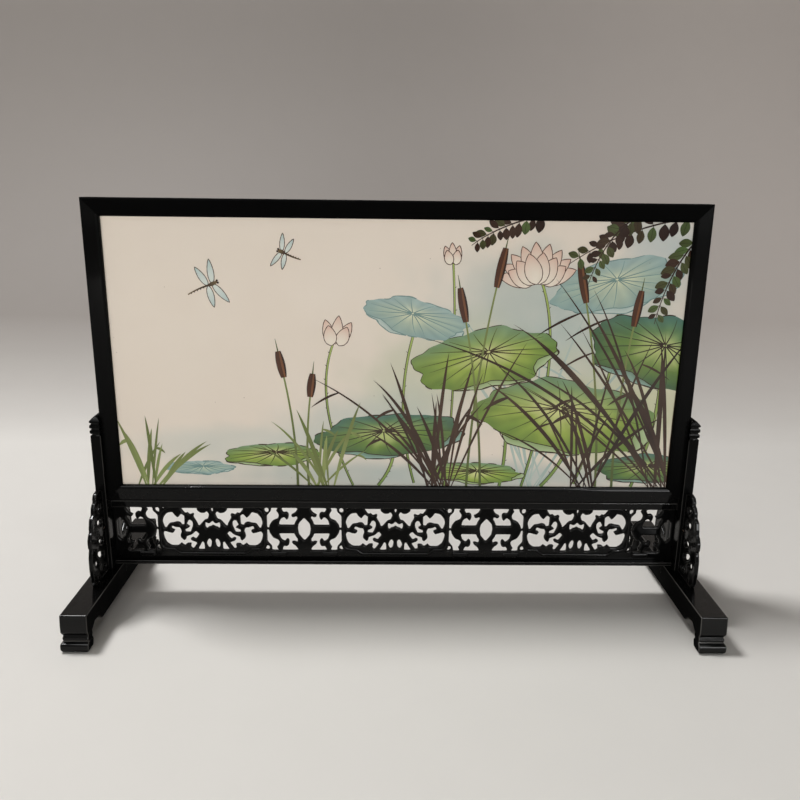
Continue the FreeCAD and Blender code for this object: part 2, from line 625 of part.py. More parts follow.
def lowered(corners, drop):
    """Corners of an opening with its lower sides moved down, the more the flatter they lie."""
    count = len(corners)
    turn = sum(corners[i - 1][0] * corners[i][1] - corners[i][0] * corners[i - 1][1] for i in range(count))
    moved = []
    for i, (x, z) in enumerate(corners):
        before = corners[i - 1]
        after = corners[(i + 1) % count]
        along = math.copysign(after[0] - before[0], turn * (after[0] - before[0]))
        flatness = along / math.dist(before, after)
        moved.append((x, z - drop * min(1, max(0, 1.4 * flatness))))
    return moved


def ring_outline(inset):
    """Corners of a cartouche's ring in millimetres, the outer line or one set in from it."""
    across = value("cartouche_width") / 200
    up = value("fret_height") / 200
    top = value("fret_drop") + 100 * up
    side = 100 * across - inset
    top_line = top - min(inset, value("fret_drop"))
    foot_line = inset - RING_FOOT * up
    dip_line = inset - RING_DIP * up
    outer_step, inner_step = (share * across - inset / 2 for share in RING_STEP)
    right = [(side, top_line), (side, foot_line), (outer_step, foot_line), (inner_step, dip_line)]
    return right + [(-u, w) for u, w in reversed(right)]


def ring_wire(inset, x, y):
    """The ring's line round one cartouche."""
    middle = value("fret_middle")
    corner = value("ring_corner") - inset
    small = value("fret_round")
    points = [(x + u, y, middle + w) for u, w in ring_outline(inset)]
    return rounded_wire(points, [corner, corner, small, small, small, small, corner, corner])


def apron_panel():
    """The fretwork board: pierced cartouches and knots, with raised rings and legs."""
    thick = value("panel_thickness")
    relief = value("relief")
    middle = value("fret_middle")
    up = value("fret_height") / 200
    step = value("fret_period / 2")
    half_length = value("post_inside - joint_gap")
    low = value("panel_bottom - tongue_length")
    high = value("panel_top + tongue_length")
    cartouche = value("cartouche_width") / 200
    knot = value("knot_width") / 200
    modules = [(spot * 2 * step, cartouche, cartouche_outlines()) for spot in (-1, 0, 1)]
    modules += [(side * step, knot, knot_outlines((1, -1)) + [KNOT_LOZENGE]) for side in (1, -1)]
    modules += [(side * 3 * step, knot, knot_outlines((-side,)) + [mirrored(END_LOZENGE, side < 0, False)])
                for side in (1, -1)]
    rim = [(-half_length, low), (half_length, low), (half_length, high), (-half_length, high)]
    wires = [Part.makePolygon([FreeCAD.Vector(x, 0, z) for x, z in rim + rim[:1]])]
    for x, across, outlines in modules:
        for outline in outlines:
            corners = [(x + u * across, middle + w * up) for u, w in outline]
            wires.append(upright_wire(lowered(corners, value("sight_drop")), value("fret_round"), 0))
    board = raised(wires, thick)
    proud = []
    for spot in (-1, 0, 1):
        x = spot * 2 * step
        ring = [ring_wire(0, x, -relief), ring_wire(value("ring_width"), x, -relief)]
        proud.append(raised(ring, thick + 2 * relief))
    for x, sides in ((step, (1, -1)), (-step, (1, -1)), (3 * step, (-1,)), (-3 * step, (1,))):
        for side in sides:
            corners = [(x + side * u * knot, middle + w * up) for u, w in KNOT_LEG]
            proud.append(raised([upright_wire(corners, value("fret_round"), -relief)], thick + 2 * relief))
    panel = shaped("apron_panel", board.multiFuse(proud))
    place(panel, "0", "0 - panel_thickness / 2")
    keep(panel, "apron_panel")


def stand():
    """The stand: feet, posts, brackets and apron, with the dowels and pegs that hold them."""
    dowels = []
    pegs = []
    for name, side in (("left", -1), ("right", 1)):
        foot(f"{name}_foot", side)
        post(f"{name}_post", side)
        bracket(f"{name}_front_bracket", side, -1)
        bracket(f"{name}_rear_bracket", side, 1)
        dowels += post_dowels(side) + foot_dowels(side)
        pegs.append(peg(side))
    grouped("bracket_dowels", dowels)
    grouped("post_pegs", pegs)
    apron_rail("apron_top_rail", "top_rail_depth", "panel_top", "frame_bottom", True, TOP_RAIL)
    apron_rail("apron_bottom_rail", "bottom_rail_depth", "foot_height", "panel_bottom", False, BOTTOM_RAIL)
    apron_panel()


def write_parts():
    """Write every sub-part to its own file, once all of them are sound."""
    doc.recompute()
    for thing in doc.Objects:
        if any(word in thing.State for word in ("Invalid", "Error")):
            raise RuntimeError(f"{thing.Label} could not be made")
    for thing in made:
        if thing.Shape.isNull() or not thing.Shape.isValid():
            raise RuntimeError(f"{thing.Label} has no sound shape")
    os.makedirs("parts", exist_ok=True)
    for thing in made:
        thing.Shape.exportStep(f"parts/{thing.Label}.step")


fill_sheet()
frame_members()
plaque_and_back()
stand()
write_parts()
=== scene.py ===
"""Looks of a porcelain plaque table screen, laid out as an add-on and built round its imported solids."""

import math
import random

import bmesh
import bpy
import numpy as np
from bpy.props import FloatProperty, FloatVectorProperty, IntProperty, PointerProperty
from bpy.types import NodeSocket, Operator, Panel, PropertyGroup
from mathutils import Matrix, Vector, noise


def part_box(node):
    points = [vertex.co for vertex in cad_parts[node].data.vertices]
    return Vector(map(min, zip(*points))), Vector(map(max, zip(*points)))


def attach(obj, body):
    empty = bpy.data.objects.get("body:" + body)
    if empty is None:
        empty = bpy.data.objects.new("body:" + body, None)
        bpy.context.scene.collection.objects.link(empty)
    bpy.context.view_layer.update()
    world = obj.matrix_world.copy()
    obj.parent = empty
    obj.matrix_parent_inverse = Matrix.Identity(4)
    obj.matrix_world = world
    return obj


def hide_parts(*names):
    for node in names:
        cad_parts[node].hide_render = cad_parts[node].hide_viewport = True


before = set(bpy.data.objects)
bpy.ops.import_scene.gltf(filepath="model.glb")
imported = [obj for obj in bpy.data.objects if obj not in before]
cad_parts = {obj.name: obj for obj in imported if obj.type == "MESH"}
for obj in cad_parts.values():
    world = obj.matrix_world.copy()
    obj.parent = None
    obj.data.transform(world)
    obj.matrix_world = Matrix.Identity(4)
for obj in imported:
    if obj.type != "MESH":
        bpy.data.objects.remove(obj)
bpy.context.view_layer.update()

bl_info = {
    "name": "Porcelain Plaque Table Screen",
    "version": (1, 0, 0),
    "blender": (4, 5, 0),
    "location": "3D View > Sidebar > Table Screen",
    "description": "Dresses a lacquered table screen and its painted porcelain plaque",
    "category": "Object",
}

MM = 0.001
# Points nearer than MERGE are one point, and a length that something is divided by is never below TINY.
MERGE = 0.000001
TINY = 1e-12
# Edges sharper than CREASE are rounded, and SQUARELY is how much of a direction the normal of a face has
# that faces that way.
CREASE = math.radians(32)
SQUARELY = 0.9
PAINT = "paint"
WORN_AND_HIGHLIT = "worn"
DULL = "dull"
FRAME_MEMBERS = ("frame_top_rail", "frame_bottom_rail", "frame_left_stile", "frame_right_stile")
BACK_BEADS = ("back_bead_top", "back_bead_bottom", "back_bead_left", "back_bead_right")
POSTS = ("left_post", "right_post")
FEET = ("left_foot", "right_foot")
BRACKETS = ("left_front_bracket", "right_front_bracket", "left_rear_bracket", "right_rear_bracket")
APRON_RAILS = ("apron_top_rail", "apron_bottom_rail")

# The fretwork's polished parts: where its knots are along X, the height, half height and half width of a
# knot's bar, and the top of the lower strip.
KNOTS = (67.5 * MM, 202.6 * MM)
KNOT_BAR = (52.5 * MM, 4 * MM, 15 * MM)
STRIP_TOP = 41.5 * MM

# The carving: how grey its edges are painted, partly as rubbing and partly as a painted highlight, how dull
# its scrolls are, and the share of each hole in the brackets that is left open.
CARVED_WEAR_AND_HIGHLIGHT = 0.15
SCROLL_DULLNESS = 0.65
BRACKET_OPENING = 0.72

# The fretwork's rings: how far they stand proud on the solid, how deep their roots go below the board's
# rounding, and how much they are narrowed, so that their sides don't lie in the board's own.
SOLID_RELIEF = 0.7 * MM
RING_ROOT = 0.1 * MM
RING_SHRINK = 0.02 * MM

# The plaque in its own millimetres: u from its left edge, v from its lower edge. The frame's lip hides the
# edge, so the painting stops there.
PLAQUE_LOW, PLAQUE_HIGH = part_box("porcelain_plaque")
PLAQUE_WIDTH = (PLAQUE_HIGH.x - PLAQUE_LOW.x) / MM
PLAQUE_HEIGHT = (PLAQUE_HIGH.z - PLAQUE_LOW.z) / MM
HIDDEN_EDGE = 3.8

# Soft washes under the drawing: middle u and v, half width and height, tilt in degrees, colour, strength.
WASHES = (
    (316, 128, 110, 52, -8, "9DB6B2", 0.62),
    (236, 92, 78, 40, 10, "B3C1A0", 0.50),
    (352, 58, 80, 46, 0, "A9BC7C", 0.55),
    (190, 52, 90, 26, 4, "A6BDB8", 0.45),
    (96, 34, 90, 18, 0, "B2C4BF", 0.42),
    (220, 12, 230, 15, 0, "8EA9A8", 0.55),
    (384, 176, 60, 26, -20, "A4BCC0", 0.50),
)

# Lotus leaves from the far ones to the near ones: middle u and v, half width and height, tilt, tone, seed.
LEAVES = (
    (350, 150, 44, 18, 11, "mist", 3),
    (214, 126, 36, 13, -13, "mist", 5),
    (60, 17, 24, 5, 0, "mist", 8),
    (382, 104, 48, 25, -12, "deep", 1),
    (262, 98, 50, 21, 10, "fresh", 7),
    (112, 27, 34, 8.5, 2, "fresh", 2),
    (322, 56, 64, 27, -6, "fresh", 11),
    (196, 42, 52, 16, 4, "deep", 4),
    (384, 18, 38, 11, 0, "deep", 6),
    (258, 14, 34, 8, -2, "fresh", 9),
)

# A leaf's colours from its heart to its rim, then the far side's, its veins' and the turned rim's.
LEAF_TONES = {
    "mist": ("D5D9B9", "AFC1AE", "8FACA8", "A7BDBB", "6F8F8B", "C3D0C8"),
    "fresh": ("D3D690", "9DB24F", "6C8C3C", "7E9F86", "31200F", "B4C79A"),
    "deep": ("B9C47C", "6F8F3F", "3F6440", "4F7F78", "24150E", "8FB0A4"),
}

# Stems: foot, bend and head in u and v, width.
STEMS = (
    ((330, 6), (356, 80), (352, 152), 2.0),
    ((214, 6), (196, 70), (216, 128), 1.8),
    ((372, 4), (392, 60), (384, 108), 2.4),
    ((276, 4), (286, 60), (264, 101), 2.3),
    ((306, 4), (330, 30), (324, 60), 2.6),
    ((188, 4), (204, 24), (197, 44), 2.3),
    ((292, 4), (320, 110), (296, 158), 1.9),
    ((170, 4), (140, 70), (158, 112), 1.6),
    ((236, 4), (244, 90), (238, 166), 1.5),
)

# Clumps of reeds: root u and v, lean in degrees from upright, spread, length, count, tone, seed.
REEDS = (
    (300, 4, -6, 60, 150, 13, "far", 21),
    (392, 6, 22, 46, 170, 16, "dark", 22),
    (232, 5, 8, 64, 112, 20, "dark", 23),
    (150, 5, 2, 70, 66, 12, "olive", 24),
    (336, 5, 4, 66, 120, 14, "dark", 25),
    (24, 5, -12, 60, 58, 11, "olive", 26),
)
REED_TONES = {
    "far": ("9FB3AC", "B9C7BD"),
    "olive": ("5E6B34", "8C9A5A"),
    "dark": ("21100C", "3B2419"),
}

# Hanging sprays with rounded leaves in pairs: path in u and v, leaf length, seed.
SPRAYS = (
    (((400, 196), (352, 190), (316, 164)), 11, 31),
    (((402, 182), (384, 160), (378, 124)), 10, 32),
    (((362, 197), (340, 186), (330, 150)), 9, 33),
    (((300, 197), (268, 190), (250, 176)), 9, 36),
)

# Bulrushes: foot and top in u and v, lean of the stalk's middle, length of the brown head.
BULRUSHES = (
    ((252, 4), (268, 148), -6, 27),
    ((262, 4), (248, 124), 5, 24),
    ((346, 4), (330, 138), 7, 28),
    ((358, 4), (364, 122), -5, 25),
    ((130, 4), (122, 84), 4, 19),
    ((138, 4), (140, 70), -3, 17),
)

# Blossoms: middle u and v, petal length, lean, how far they open in degrees.
BLOSSOMS = ((296, 160, 27, 6, 150), (158, 114, 20, -8, 44), (238, 168, 14, 4, 30))

# Dragonflies: middle u and v, length, heading in degrees.
DRAGONFLIES = ((74, 148, 27, 24), (124, 170, 20, 158))

# Lamps: place, aim, width, the setting that holds the power, and what the lamp is hidden from.
LAMPS = {
    "key_light": ((-0.95, 0.32, 2.3), (0, 0, 0.1), 0.5, "key_power", None),
    "glint_light_left": ((-0.7, -0.9, 2.2), (0, 0, 0.15), 0.04, "glint_power", None),
    "glint_light_right": ((0.7, -0.9, 2.2), (0, 0, 0.15), 0.04, "glint_power", None),
    "fill_light": ((-0.3, -2.2, 0.42), (0, 0, 0.18), 1.3, "fill_power", "visible_glossy"),
    "window_card": ((0.81, -1.46, 0.6), (0.21, -0.08, 0.01), 0.5, "window_power", "visible_diffuse"),
    "ceiling_card": ((0, -0.9, 2.4), (0, -0.5, 0), 2.4, "ceiling_power", "visible_diffuse"),
}

# The camera, fitted to the photograph's perspective: its place, its pitch, yaw and roll in degrees, its
# focal length and the picture's width in pixels, and a sensor of common width in millimetres.
CAMERA_PLACE = (-0.0064, -0.5332, 0.2962)
CAMERA_TURN = (15.07, 0.936, -0.681)
FOCAL_PIXELS = 776.6
PICTURE_PIXELS = 800
SENSOR_WIDTH = 36


def linear(hex_colour):
    """An sRGB hex value as linear red, green and blue."""
    parts = [int(hex_colour[i:i + 2], 16) / 255 for i in (0, 2, 4)]
    return tuple(c / 12.92 if c <= 0.04045 else ((c + 0.055) / 1.055) ** 2.4 for c in parts)


def mixed(first, second, share):
    """A colour between two linear colours."""
    return tuple(a + (b - a) * share for a, b in zip(first, second))


def colour_property(name, description, hex_colour):
    """A colour that a user can change."""
    return FloatVectorProperty(name=name, description=description, subtype="COLOR", size=3,
                               min=0, max=1, default=linear(hex_colour))


def length_property(name, description, millimetres):
    """A length that a user can change."""
    return FloatProperty(name=name, description=description, default=millimetres * MM, unit="LENGTH")


def power_property(name, description, watts):
    """A lamp's power that a user can change."""
    return FloatProperty(name=name, description=description, default=watts, unit="POWER")


class ScreenLook(PropertyGroup):
    """Sizes and colours of the finished screen."""

    lacquer: colour_property("Lacquer", "Black lacquer on all the woodwork", "060606")
    # Painted on rounded edges, partly as wear and partly as a painted highlight.
    lacquer_worn_and_highlit: colour_property("Rubbed lacquer", "Grey that shows on rubbed edges", "5C5A57")
    lacquer_thin: colour_property("Thin lacquer", "Brown black of the back, where the coat is thin",
                                  "2C241F")
    porcelain: colour_property("Porcelain", "Cream body under the clear glaze", "ECE0D1")
    felt: colour_property("Felt", "Padding behind the plaque", "6E6254")
    hardwood: colour_property("Hardwood", "Bare dowels", "6A4A32")
    brass: colour_property("Brass", "Pins of the back beads", "B98B45")
    floor: colour_property("Floor", "Plain pale table top", "D9D6D1")
    wall: colour_property("Wall", "Grey wall that the table top runs up into", "8C8681")
    # Painted light: the wall is painted paler towards the right, standing in for light that falls unevenly
    # on it.
    wall_lit_side: colour_property("Wall side", "Paler grey at the right of the wall", "B4ACA6")
    frame_edge: length_property("Frame edge", "Rounding of the frame's edges", 0.9)
    sight_edge: length_property("Sight edge", "Rounding of the frame's edge round the plaque", 2.8)
    seat_edge: length_property("Seat edge", "Rounding of the frame's lower edge on the apron", 3.2)
    stand_edge: length_property("Stand edge", "Rounding of the posts, rails and beads", 0.7)
    foot_edge: length_property("Foot edge", "Rounding of the feet's edges", 0.7)
    board_edge: length_property("Board edge", "Rounding of the back board", 0.3)
    carving_edge: length_property("Carving edge", "Rounding of the pierced work", 0.9)
    scroll_edge: length_property("Scroll edge", "Rounding of the brackets' scrolls", 0.8)
    hollow: length_property("Hollow", "Depth of the hollow along the brackets' scrolls", 0.5)
    relief: length_property("Relief", "How far the fretwork's rings stand proud", 1.3)
    wash_cell: length_property("Wash cell", "Fineness of the soft washes on the plaque", 1.5)
    enamel_step: length_property("Enamel layer", "Height of one layer of enamel", 0.006)
    key_power: power_property("Key light", "Overhead light that throws the shadow", 48)
    glint_power: power_property("Glint lights", "Small lamps that catch on the edges", 1.5)
    ceiling_power: power_property("Ceiling", "Pale card that shows in the gloss alone", 45)
    window_power: power_property("Window", "Card at the right that shows in the gloss alone", 12)
    fill_power: power_property("Fill light", "Broad light on the front", 26)
    seed: IntProperty(name="Seed", description="Start of every random draw in the painting", default=7)


def node(tree, kind, inputs=None, **settings):
    """Adds a node, gives it its settings, and sets or links its inputs."""
    made = tree.nodes.new(kind)
    for name, setting in settings.items():
        setattr(made, name, setting)
    for socket, source in (inputs or {}).items():
        if isinstance(source, NodeSocket):
            tree.links.new(source, made.inputs[socket])
        else:
            made.inputs[socket].default_value = source
    return made


def new_material(name, **constants):
    """A material with one shader, whose constants are set on the shader's own sockets."""
    material = bpy.data.materials.new(name)
    material.use_nodes = True
    tree = material.node_tree
    tree.nodes.clear()
    surface = node(tree, "ShaderNodeBsdfPrincipled", {k.replace("_", " "): v for k, v in constants.items()})
    node(tree, "ShaderNodeOutputMaterial", {"Surface": surface.outputs["BSDF"]})
    return material, tree, surface


def black_lacquer(look, grain, polish=0.25, thin=False):
    """Lacquered hardwood: brushed black lacquer, rubbed down and polished over an open-pored wood.

    The eye sees a deep black with a clear gloss, long shallow pores along the grain, a cloudy polish,
    edges painted greyer, partly as the wear of handling and partly as a painted highlight, and sides that
    the polishing cloth never reached. A thin coat, as on the back, lets the brown of the wood through.
    Each coat is made once for a direction of the grain, with the polish of its first piece.
    """
    name = f"{'Thinly' if thin else 'Black'} lacquered hardwood {grain}"
    if name in bpy.data.materials:
        return bpy.data.materials[name]
    material, tree, surface = new_material(name, IOR=1.45, Specular_IOR_Level=0.03, Coat_Roughness=0.06,
                                           Coat_IOR=1.5)
    place = node(tree, "ShaderNodeTexCoord").outputs["Object"]
    # Pores are 0.2 mm wide and 14 mm long, drawn 0.8 mm wide because finer ones don't show.
    across, along = 1 / (0.8 * MM), 1 / (14 * MM)
    stretch = [along if axis == grain else across for axis in "XYZ"]
    fibres = node(tree, "ShaderNodeMapping", {"Vector": place, "Scale": stretch})
    pores = node(tree, "ShaderNodeTexNoise", {"Vector": fibres.outputs[0], "Scale": 1, "Detail": 3})
    # The polish is uneven over patches of about 30 mm, with rubbing marks of about 3 mm in them.
    cloud = node(tree, "ShaderNodeTexNoise", {"Vector": place, "Scale": 1 / (30 * MM), "Detail": 5,
                                              "Roughness": 0.65})
    gloss = node(tree, "ShaderNodeMapRange", {"Value": cloud.outputs["Fac"], "From Min": 0.3,
                                              "From Max": 0.7, "To Min": 0.2, "To Max": 0.36})
    worn = node(tree, "ShaderNodeAttribute", attribute_name=WORN_AND_HIGHLIT)
    rub_and_highlight = node(tree, "ShaderNodeMath", {0: worn.outputs["Fac"], 1: cloud.outputs["Fac"]},
               operation="MULTIPLY")
    ground = look.lacquer_thin if thin else look.lacquer
    # Painted highlight and wear: the grey lightens rounded edges, partly as wear and partly where gloss
    # would catch the light.
    tint = node(tree, "ShaderNodeMix", {"Factor": rub_and_highlight.outputs[0], "A": (*ground, 1),
                                        "B": (*look.lacquer_worn_and_highlit, 1)}, data_type="RGBA")
    tree.links.new(tint.outputs["Result"], surface.inputs["Base Color"])
    rubbed_and_highlit = node(tree, "ShaderNodeMath", {0: rub_and_highlight.outputs[0], 1: 0.12, 2: gloss.outputs["Result"]},
                  operation="MULTIPLY_ADD")
    dull = node(tree, "ShaderNodeAttribute", attribute_name=DULL)
    rough = node(tree, "ShaderNodeMath", {0: dull.outputs["Fac"], 1: 0.6, 2: rubbed_and_highlit.outputs[0]},
                 operation="MULTIPLY_ADD", use_clamp=True)
    tree.links.new(rough.outputs[0], surface.inputs["Roughness"])
    coat = node(tree, "ShaderNodeMath", {0: dull.outputs["Fac"], 1: -polish, 2: polish},
                operation="MULTIPLY_ADD")
    tree.links.new(coat.outputs[0], surface.inputs["Coat Weight"])
    bump = node(tree, "ShaderNodeBump", {"Height": pores.outputs["Fac"], "Strength": 0.12,
                                         "Distance": 0.05 * MM})
    tree.links.new(bump.outputs["Normal"], surface.inputs["Normal"])
    return material


def painted_porcelain(look):
    """Glazed porcelain: enamel colours on a cream body, fired under one clear feldspar glaze.

    The eye sees an even shine over paint and ground alike, a glaze that lies in broad shallow waves,
    faint warm clouds in the body, and a few dark specks of iron.
    """
    name = "Painted glazed porcelain"
    if name in bpy.data.materials:
        return bpy.data.materials[name]
    material, tree, surface = new_material(name, IOR=1.5, Specular_IOR_Level=0.45)
    place = node(tree, "ShaderNodeTexCoord").outputs["Object"]
    paint = node(tree, "ShaderNodeAttribute", attribute_name=PAINT)
    clay, iron = linear("C8A98A"), linear("6B4A35")
    # Clouds in the body are about 60 mm across.
    clouds = node(tree, "ShaderNodeTexNoise", {"Vector": place, "Scale": 1 / (60 * MM), "Detail": 3})
    warm = node(tree, "ShaderNodeMapRange", {"Value": clouds.outputs["Fac"], "From Min": 0.35,
                                             "From Max": 0.7, "To Min": 0.0, "To Max": 0.07})
    body = node(tree, "ShaderNodeMix", {"Factor": warm.outputs["Result"], "A": paint.outputs["Color"],
                                        "B": (*clay, 1)}, data_type="RGBA")
    # Iron specks are 0.2 mm across, drawn 0.6 mm across because finer ones don't show, one in about 14 mm.
    cells = node(tree, "ShaderNodeTexVoronoi", {"Vector": place, "Scale": 1 / (14 * MM), "Randomness": 1})
    speck = node(tree, "ShaderNodeMapRange", {"Value": cells.outputs["Distance"], "From Min": 0.016,
                                              "From Max": 0.03, "To Min": 0.55, "To Max": 0.0})
    specked = node(tree, "ShaderNodeMix", {"Factor": speck.outputs["Result"], "A": body.outputs["Result"],
                                           "B": (*iron, 1)}, data_type="RGBA")
    tree.links.new(specked.outputs["Result"], surface.inputs["Base Color"])
    # The glaze gathers in waves of about 9 mm.
    waves = node(tree, "ShaderNodeTexNoise", {"Vector": place, "Scale": 1 / (9 * MM), "Detail": 1})
    shine = node(tree, "ShaderNodeMapRange", {"Value": clouds.outputs["Fac"], "From Min": 0.3,
                                              "From Max": 0.7, "To Min": 0.1, "To Max": 0.2})
    tree.links.new(shine.outputs["Result"], surface.inputs["Roughness"])
    bump = node(tree, "ShaderNodeBump", {"Height": waves.outputs["Fac"], "Strength": 0.25,
                                         "Distance": 0.04 * MM})
    tree.links.new(bump.outputs["Normal"], surface.inputs["Normal"])
    return material


def small_material(name, colour, grain_mm, depth_mm, spread, **constants):
    """A plain finish with flecks of a size and depth in millimetres, and spread as how far they differ."""
    material, tree, surface = new_material(name, **constants)
    place = node(tree, "ShaderNodeTexCoord").outputs["Object"]
    fleck = node(tree, "ShaderNodeTexNoise", {"Vector": place, "Scale": 1 / (grain_mm * MM), "Detail": 4})
    deep, pale = mixed(colour, (0, 0, 0), spread), mixed(colour, (1, 1, 1), spread / 3)
    shade = node(tree, "ShaderNodeMix", {"Factor": fleck.outputs["Fac"], "A": (*deep, 1), "B": (*pale, 1)},
                 data_type="RGBA")
    tree.links.new(shade.outputs["Result"], surface.inputs["Base Color"])
    bump = node(tree, "ShaderNodeBump", {"Height": fleck.outputs["Fac"], "Strength": 0.5,
                                         "Distance": depth_mm * MM})
    tree.links.new(bump.outputs["Normal"], surface.inputs["Normal"])
    return material


def mesh_from(bm, name):
    """Ends the shaping of a mesh and gives it its name."""
    mesh = bpy.data.meshes.new(name)
    bm.to_mesh(mesh)
    bm.free()
    return mesh


def finished(name, mesh, body, material):
    """Puts a mesh in the scene as a piece of that body, with its finish."""
    piece = bpy.data.objects.new(name, mesh)
    bpy.context.scene.collection.objects.link(piece)
    mesh.materials.append(material)
    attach(piece, body)
    return piece


def even_shading(piece, sharp=50):
    """Smooth shading that keeps flat faces flat."""
    piece.data.shade_smooth()
    piece.data.set_sharp_from_angle(angle=math.radians(sharp))
    weighted = piece.modifiers.new("Flat faces", "WEIGHTED_NORMAL")
    weighted.keep_sharp = True
    weighted.weight = 80


def lacquered(bm, source, body, material):
    """Stands a shaped mesh in the place of a solid, as a lacquered piece of that body."""
    name = f"lacquered_{source}"
    piece = finished(name, mesh_from(bm, name), body, material)
    even_shading(piece)
    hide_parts(source)


def merged_solid(source):
    """A copy of a solid's mesh to shape, with its loose triangles joined."""
    bm = bmesh.new()
    bm.from_mesh(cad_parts[source].data)
    bmesh.ops.remove_doubles(bm, verts=bm.verts[:], dist=MERGE)
    return bm


def sliced(bm, place, normal, near=MERGE / 10, **cleared):
    """Cuts a mesh along a plane and clears the sides that are named."""
    bmesh.ops.bisect_plane(bm, geom=bm.verts[:] + bm.edges[:] + bm.faces[:], dist=near, plane_co=place,
                           plane_no=normal, **cleared)


def rounded(bm, edges, radius, segments, clamp):
    """Rounds edges, and gives the points and faces that this makes."""
    return bmesh.ops.bevel(bm, geom=edges, offset=radius, offset_type="OFFSET", affect="EDGES",
                           segments=segments, profile=0.5, material=-1, clamp_overlap=clamp)


def finish_layers(bm):
    """The layers that hold how dull the lacquer is and how grey its edges are painted, as wear and as a
    highlight.
    """
    layers = bm.verts.layers.float
    return [layers.get(name) or layers.new(name) for name in (WORN_AND_HIGHLIT, DULL)]


def mitred(face):
    """True for the slanting face of a frame corner, whose glued edges stay sharp."""
    return abs(face.normal.y) < 0.01 and abs(abs(face.normal.x) - abs(face.normal.z)) < 0.01


def rounded_copy(source, radius, body, material, segments=2, flat=4.0, shortest=0.0, merge=MERGE, clamp=True,
                 wear_and_highlight=0.4, dull_sides=(), facing=0.8, spared=None, cuts=0, wide=(), wide_segments=5):
    """Stands a lacquered copy with rounded edges in the place of a solid.

    flat is the angle in degrees up to which neighbouring faces become one, merge the distance up to which
    points do, and shortest the length from which an edge is rounded. clamp keeps a rounding from running
    past the next edge. wear_and_highlight is how grey the rounded edges are painted, partly as wear and
    partly as a painted highlight. dull_sides are directions with how dull the faces there are, and facing is
    how squarely a face has to look that way. spared is a peg whose hole keeps its sharp edges. cuts is how
    often a long rail is cut across, so that the painted wear and highlight show between its ends.
    wide are directions with a larger rounding for the front edge on that side.
    """
    bm = merged_solid(source)
    bmesh.ops.dissolve_limit(bm, angle_limit=math.radians(flat), use_dissolve_boundaries=False,
                             verts=bm.verts[:], edges=bm.edges[:])
    if merge > MERGE:
        bmesh.ops.remove_doubles(bm, verts=bm.verts[:], dist=merge)
    # The layers come before the bevel, because adding one later would lose hold of the bevel's points.
    worn, dull = finish_layers(bm)
    low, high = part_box(source)
    for k in range(cuts):
        sliced(bm, low.lerp(high, (k + 1) / (cuts + 1)), (1, 0, 0))
    for side, broad in wide:
        front = [e for e in bm.edges if any(f.normal.y < -SQUARELY for f in e.link_faces)
                 and any(f.normal.dot(Vector(side)) > SQUARELY for f in e.link_faces)]
        rounded(bm, front, broad, wide_segments, clamp)
    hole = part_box(spared) if spared else (Vector(), Vector())

    def at_peg(edge):
        return all(a - MERGE <= p <= b + MERGE for v in edge.verts for p, a, b in zip(v.co, *hole))

    edges = [e for e in bm.edges if e.calc_face_angle() > CREASE and e.calc_length() > shortest
             and not any(mitred(f) for f in e.link_faces) and not at_peg(e)]
    made = rounded(bm, edges, radius, segments, clamp)
    rubbed_and_highlit = set(made["faces"])
    # The rounded edges are painted grey, partly as wear and partly as a painted highlight.
    for vert in made["verts"]:
        if vert.is_valid and all(face in rubbed_and_highlit for face in vert.link_faces):
            vert[worn] = wear_and_highlight
    for side, dullness in dull_sides:
        for face in bm.faces:
            if face.normal.dot(Vector(side)) > facing:
                for vert in face.verts:
                    vert[dull] = max(vert[dull], dullness)
    for vert in bm.verts:
        vert.co = [min(max(place, a), b) for place, a, b in zip(vert.co, low, high)]
    lacquered(bm, source, body, material)


def outlines(source, axis, level):
    """The closed outlines that a flat cut through a solid leaves, as lists of plane points."""
    bm = merged_solid(source)
    normal = Vector([1.0 if i == axis else 0.0 for i in range(3)])
    sliced(bm, normal * level, normal, clear_inner=True, clear_outer=True)
    flat = [i for i in range(3) if i != axis]
    waiting, loops = dict.fromkeys(bm.verts), []
    while waiting:
        vert, loop = next(iter(waiting)), []
        while vert:
            del waiting[vert]
            loop.append([vert.co[i] for i in flat])
            beside = (edge.other_vert(vert) for edge in vert.link_edges)
            vert = next((other for other in beside if other in waiting), None)
        loops.append(np.array(loop))
    bm.free()
    return [softened(thinned(loop)) for loop in loops if len(loop) > 2]


def edge_runs(loop):
    """The way from each point of a closed outline to the next, and its length."""
    run = np.roll(loop, -1, 0) - loop
    return run, np.maximum(np.hypot(run[:, 0], run[:, 1]), TINY)


def softened(loop, cut=0.7 * MM, rounds=2):
    """Cuts every corner of a closed outline, so that curves run smooth and corners lose their points."""
    for _ in range(rounds):
        run, length = edge_runs(loop)
        step = run * np.minimum(0.25, cut / length)[:, None]
        loop = np.stack([loop - np.roll(step, 1, 0), loop + step], 1).reshape(-1, 2)
        cut /= 2
    return loop


def thinned(loop, slack=0.1 * MM):
    """Drops the points of a closed outline that lie on the line between their neighbours."""
    kept, last = [0], 0
    for i in range(1, len(loop)):
        ahead = loop[(i + 1) % len(loop)]
        chord = ahead - loop[last]
        length = max(np.hypot(*chord), TINY)
        skipped = loop[last + 1:i + 1] - loop[last]
        off = np.abs(skipped[:, 0] * chord[1] - skipped[:, 1] * chord[0]) / length
        if off.max() > slack:
            kept.append(i)
            last = i
    return loop[kept]


def swept_area(loop):
    """The area of a closed outline, below zero where it runs clockwise."""
    ahead = np.roll(loop, -1, 0)
    return np.sum(loop[:, 0] * ahead[:, 1] - ahead[:, 0] * loop[:, 1]) / 2


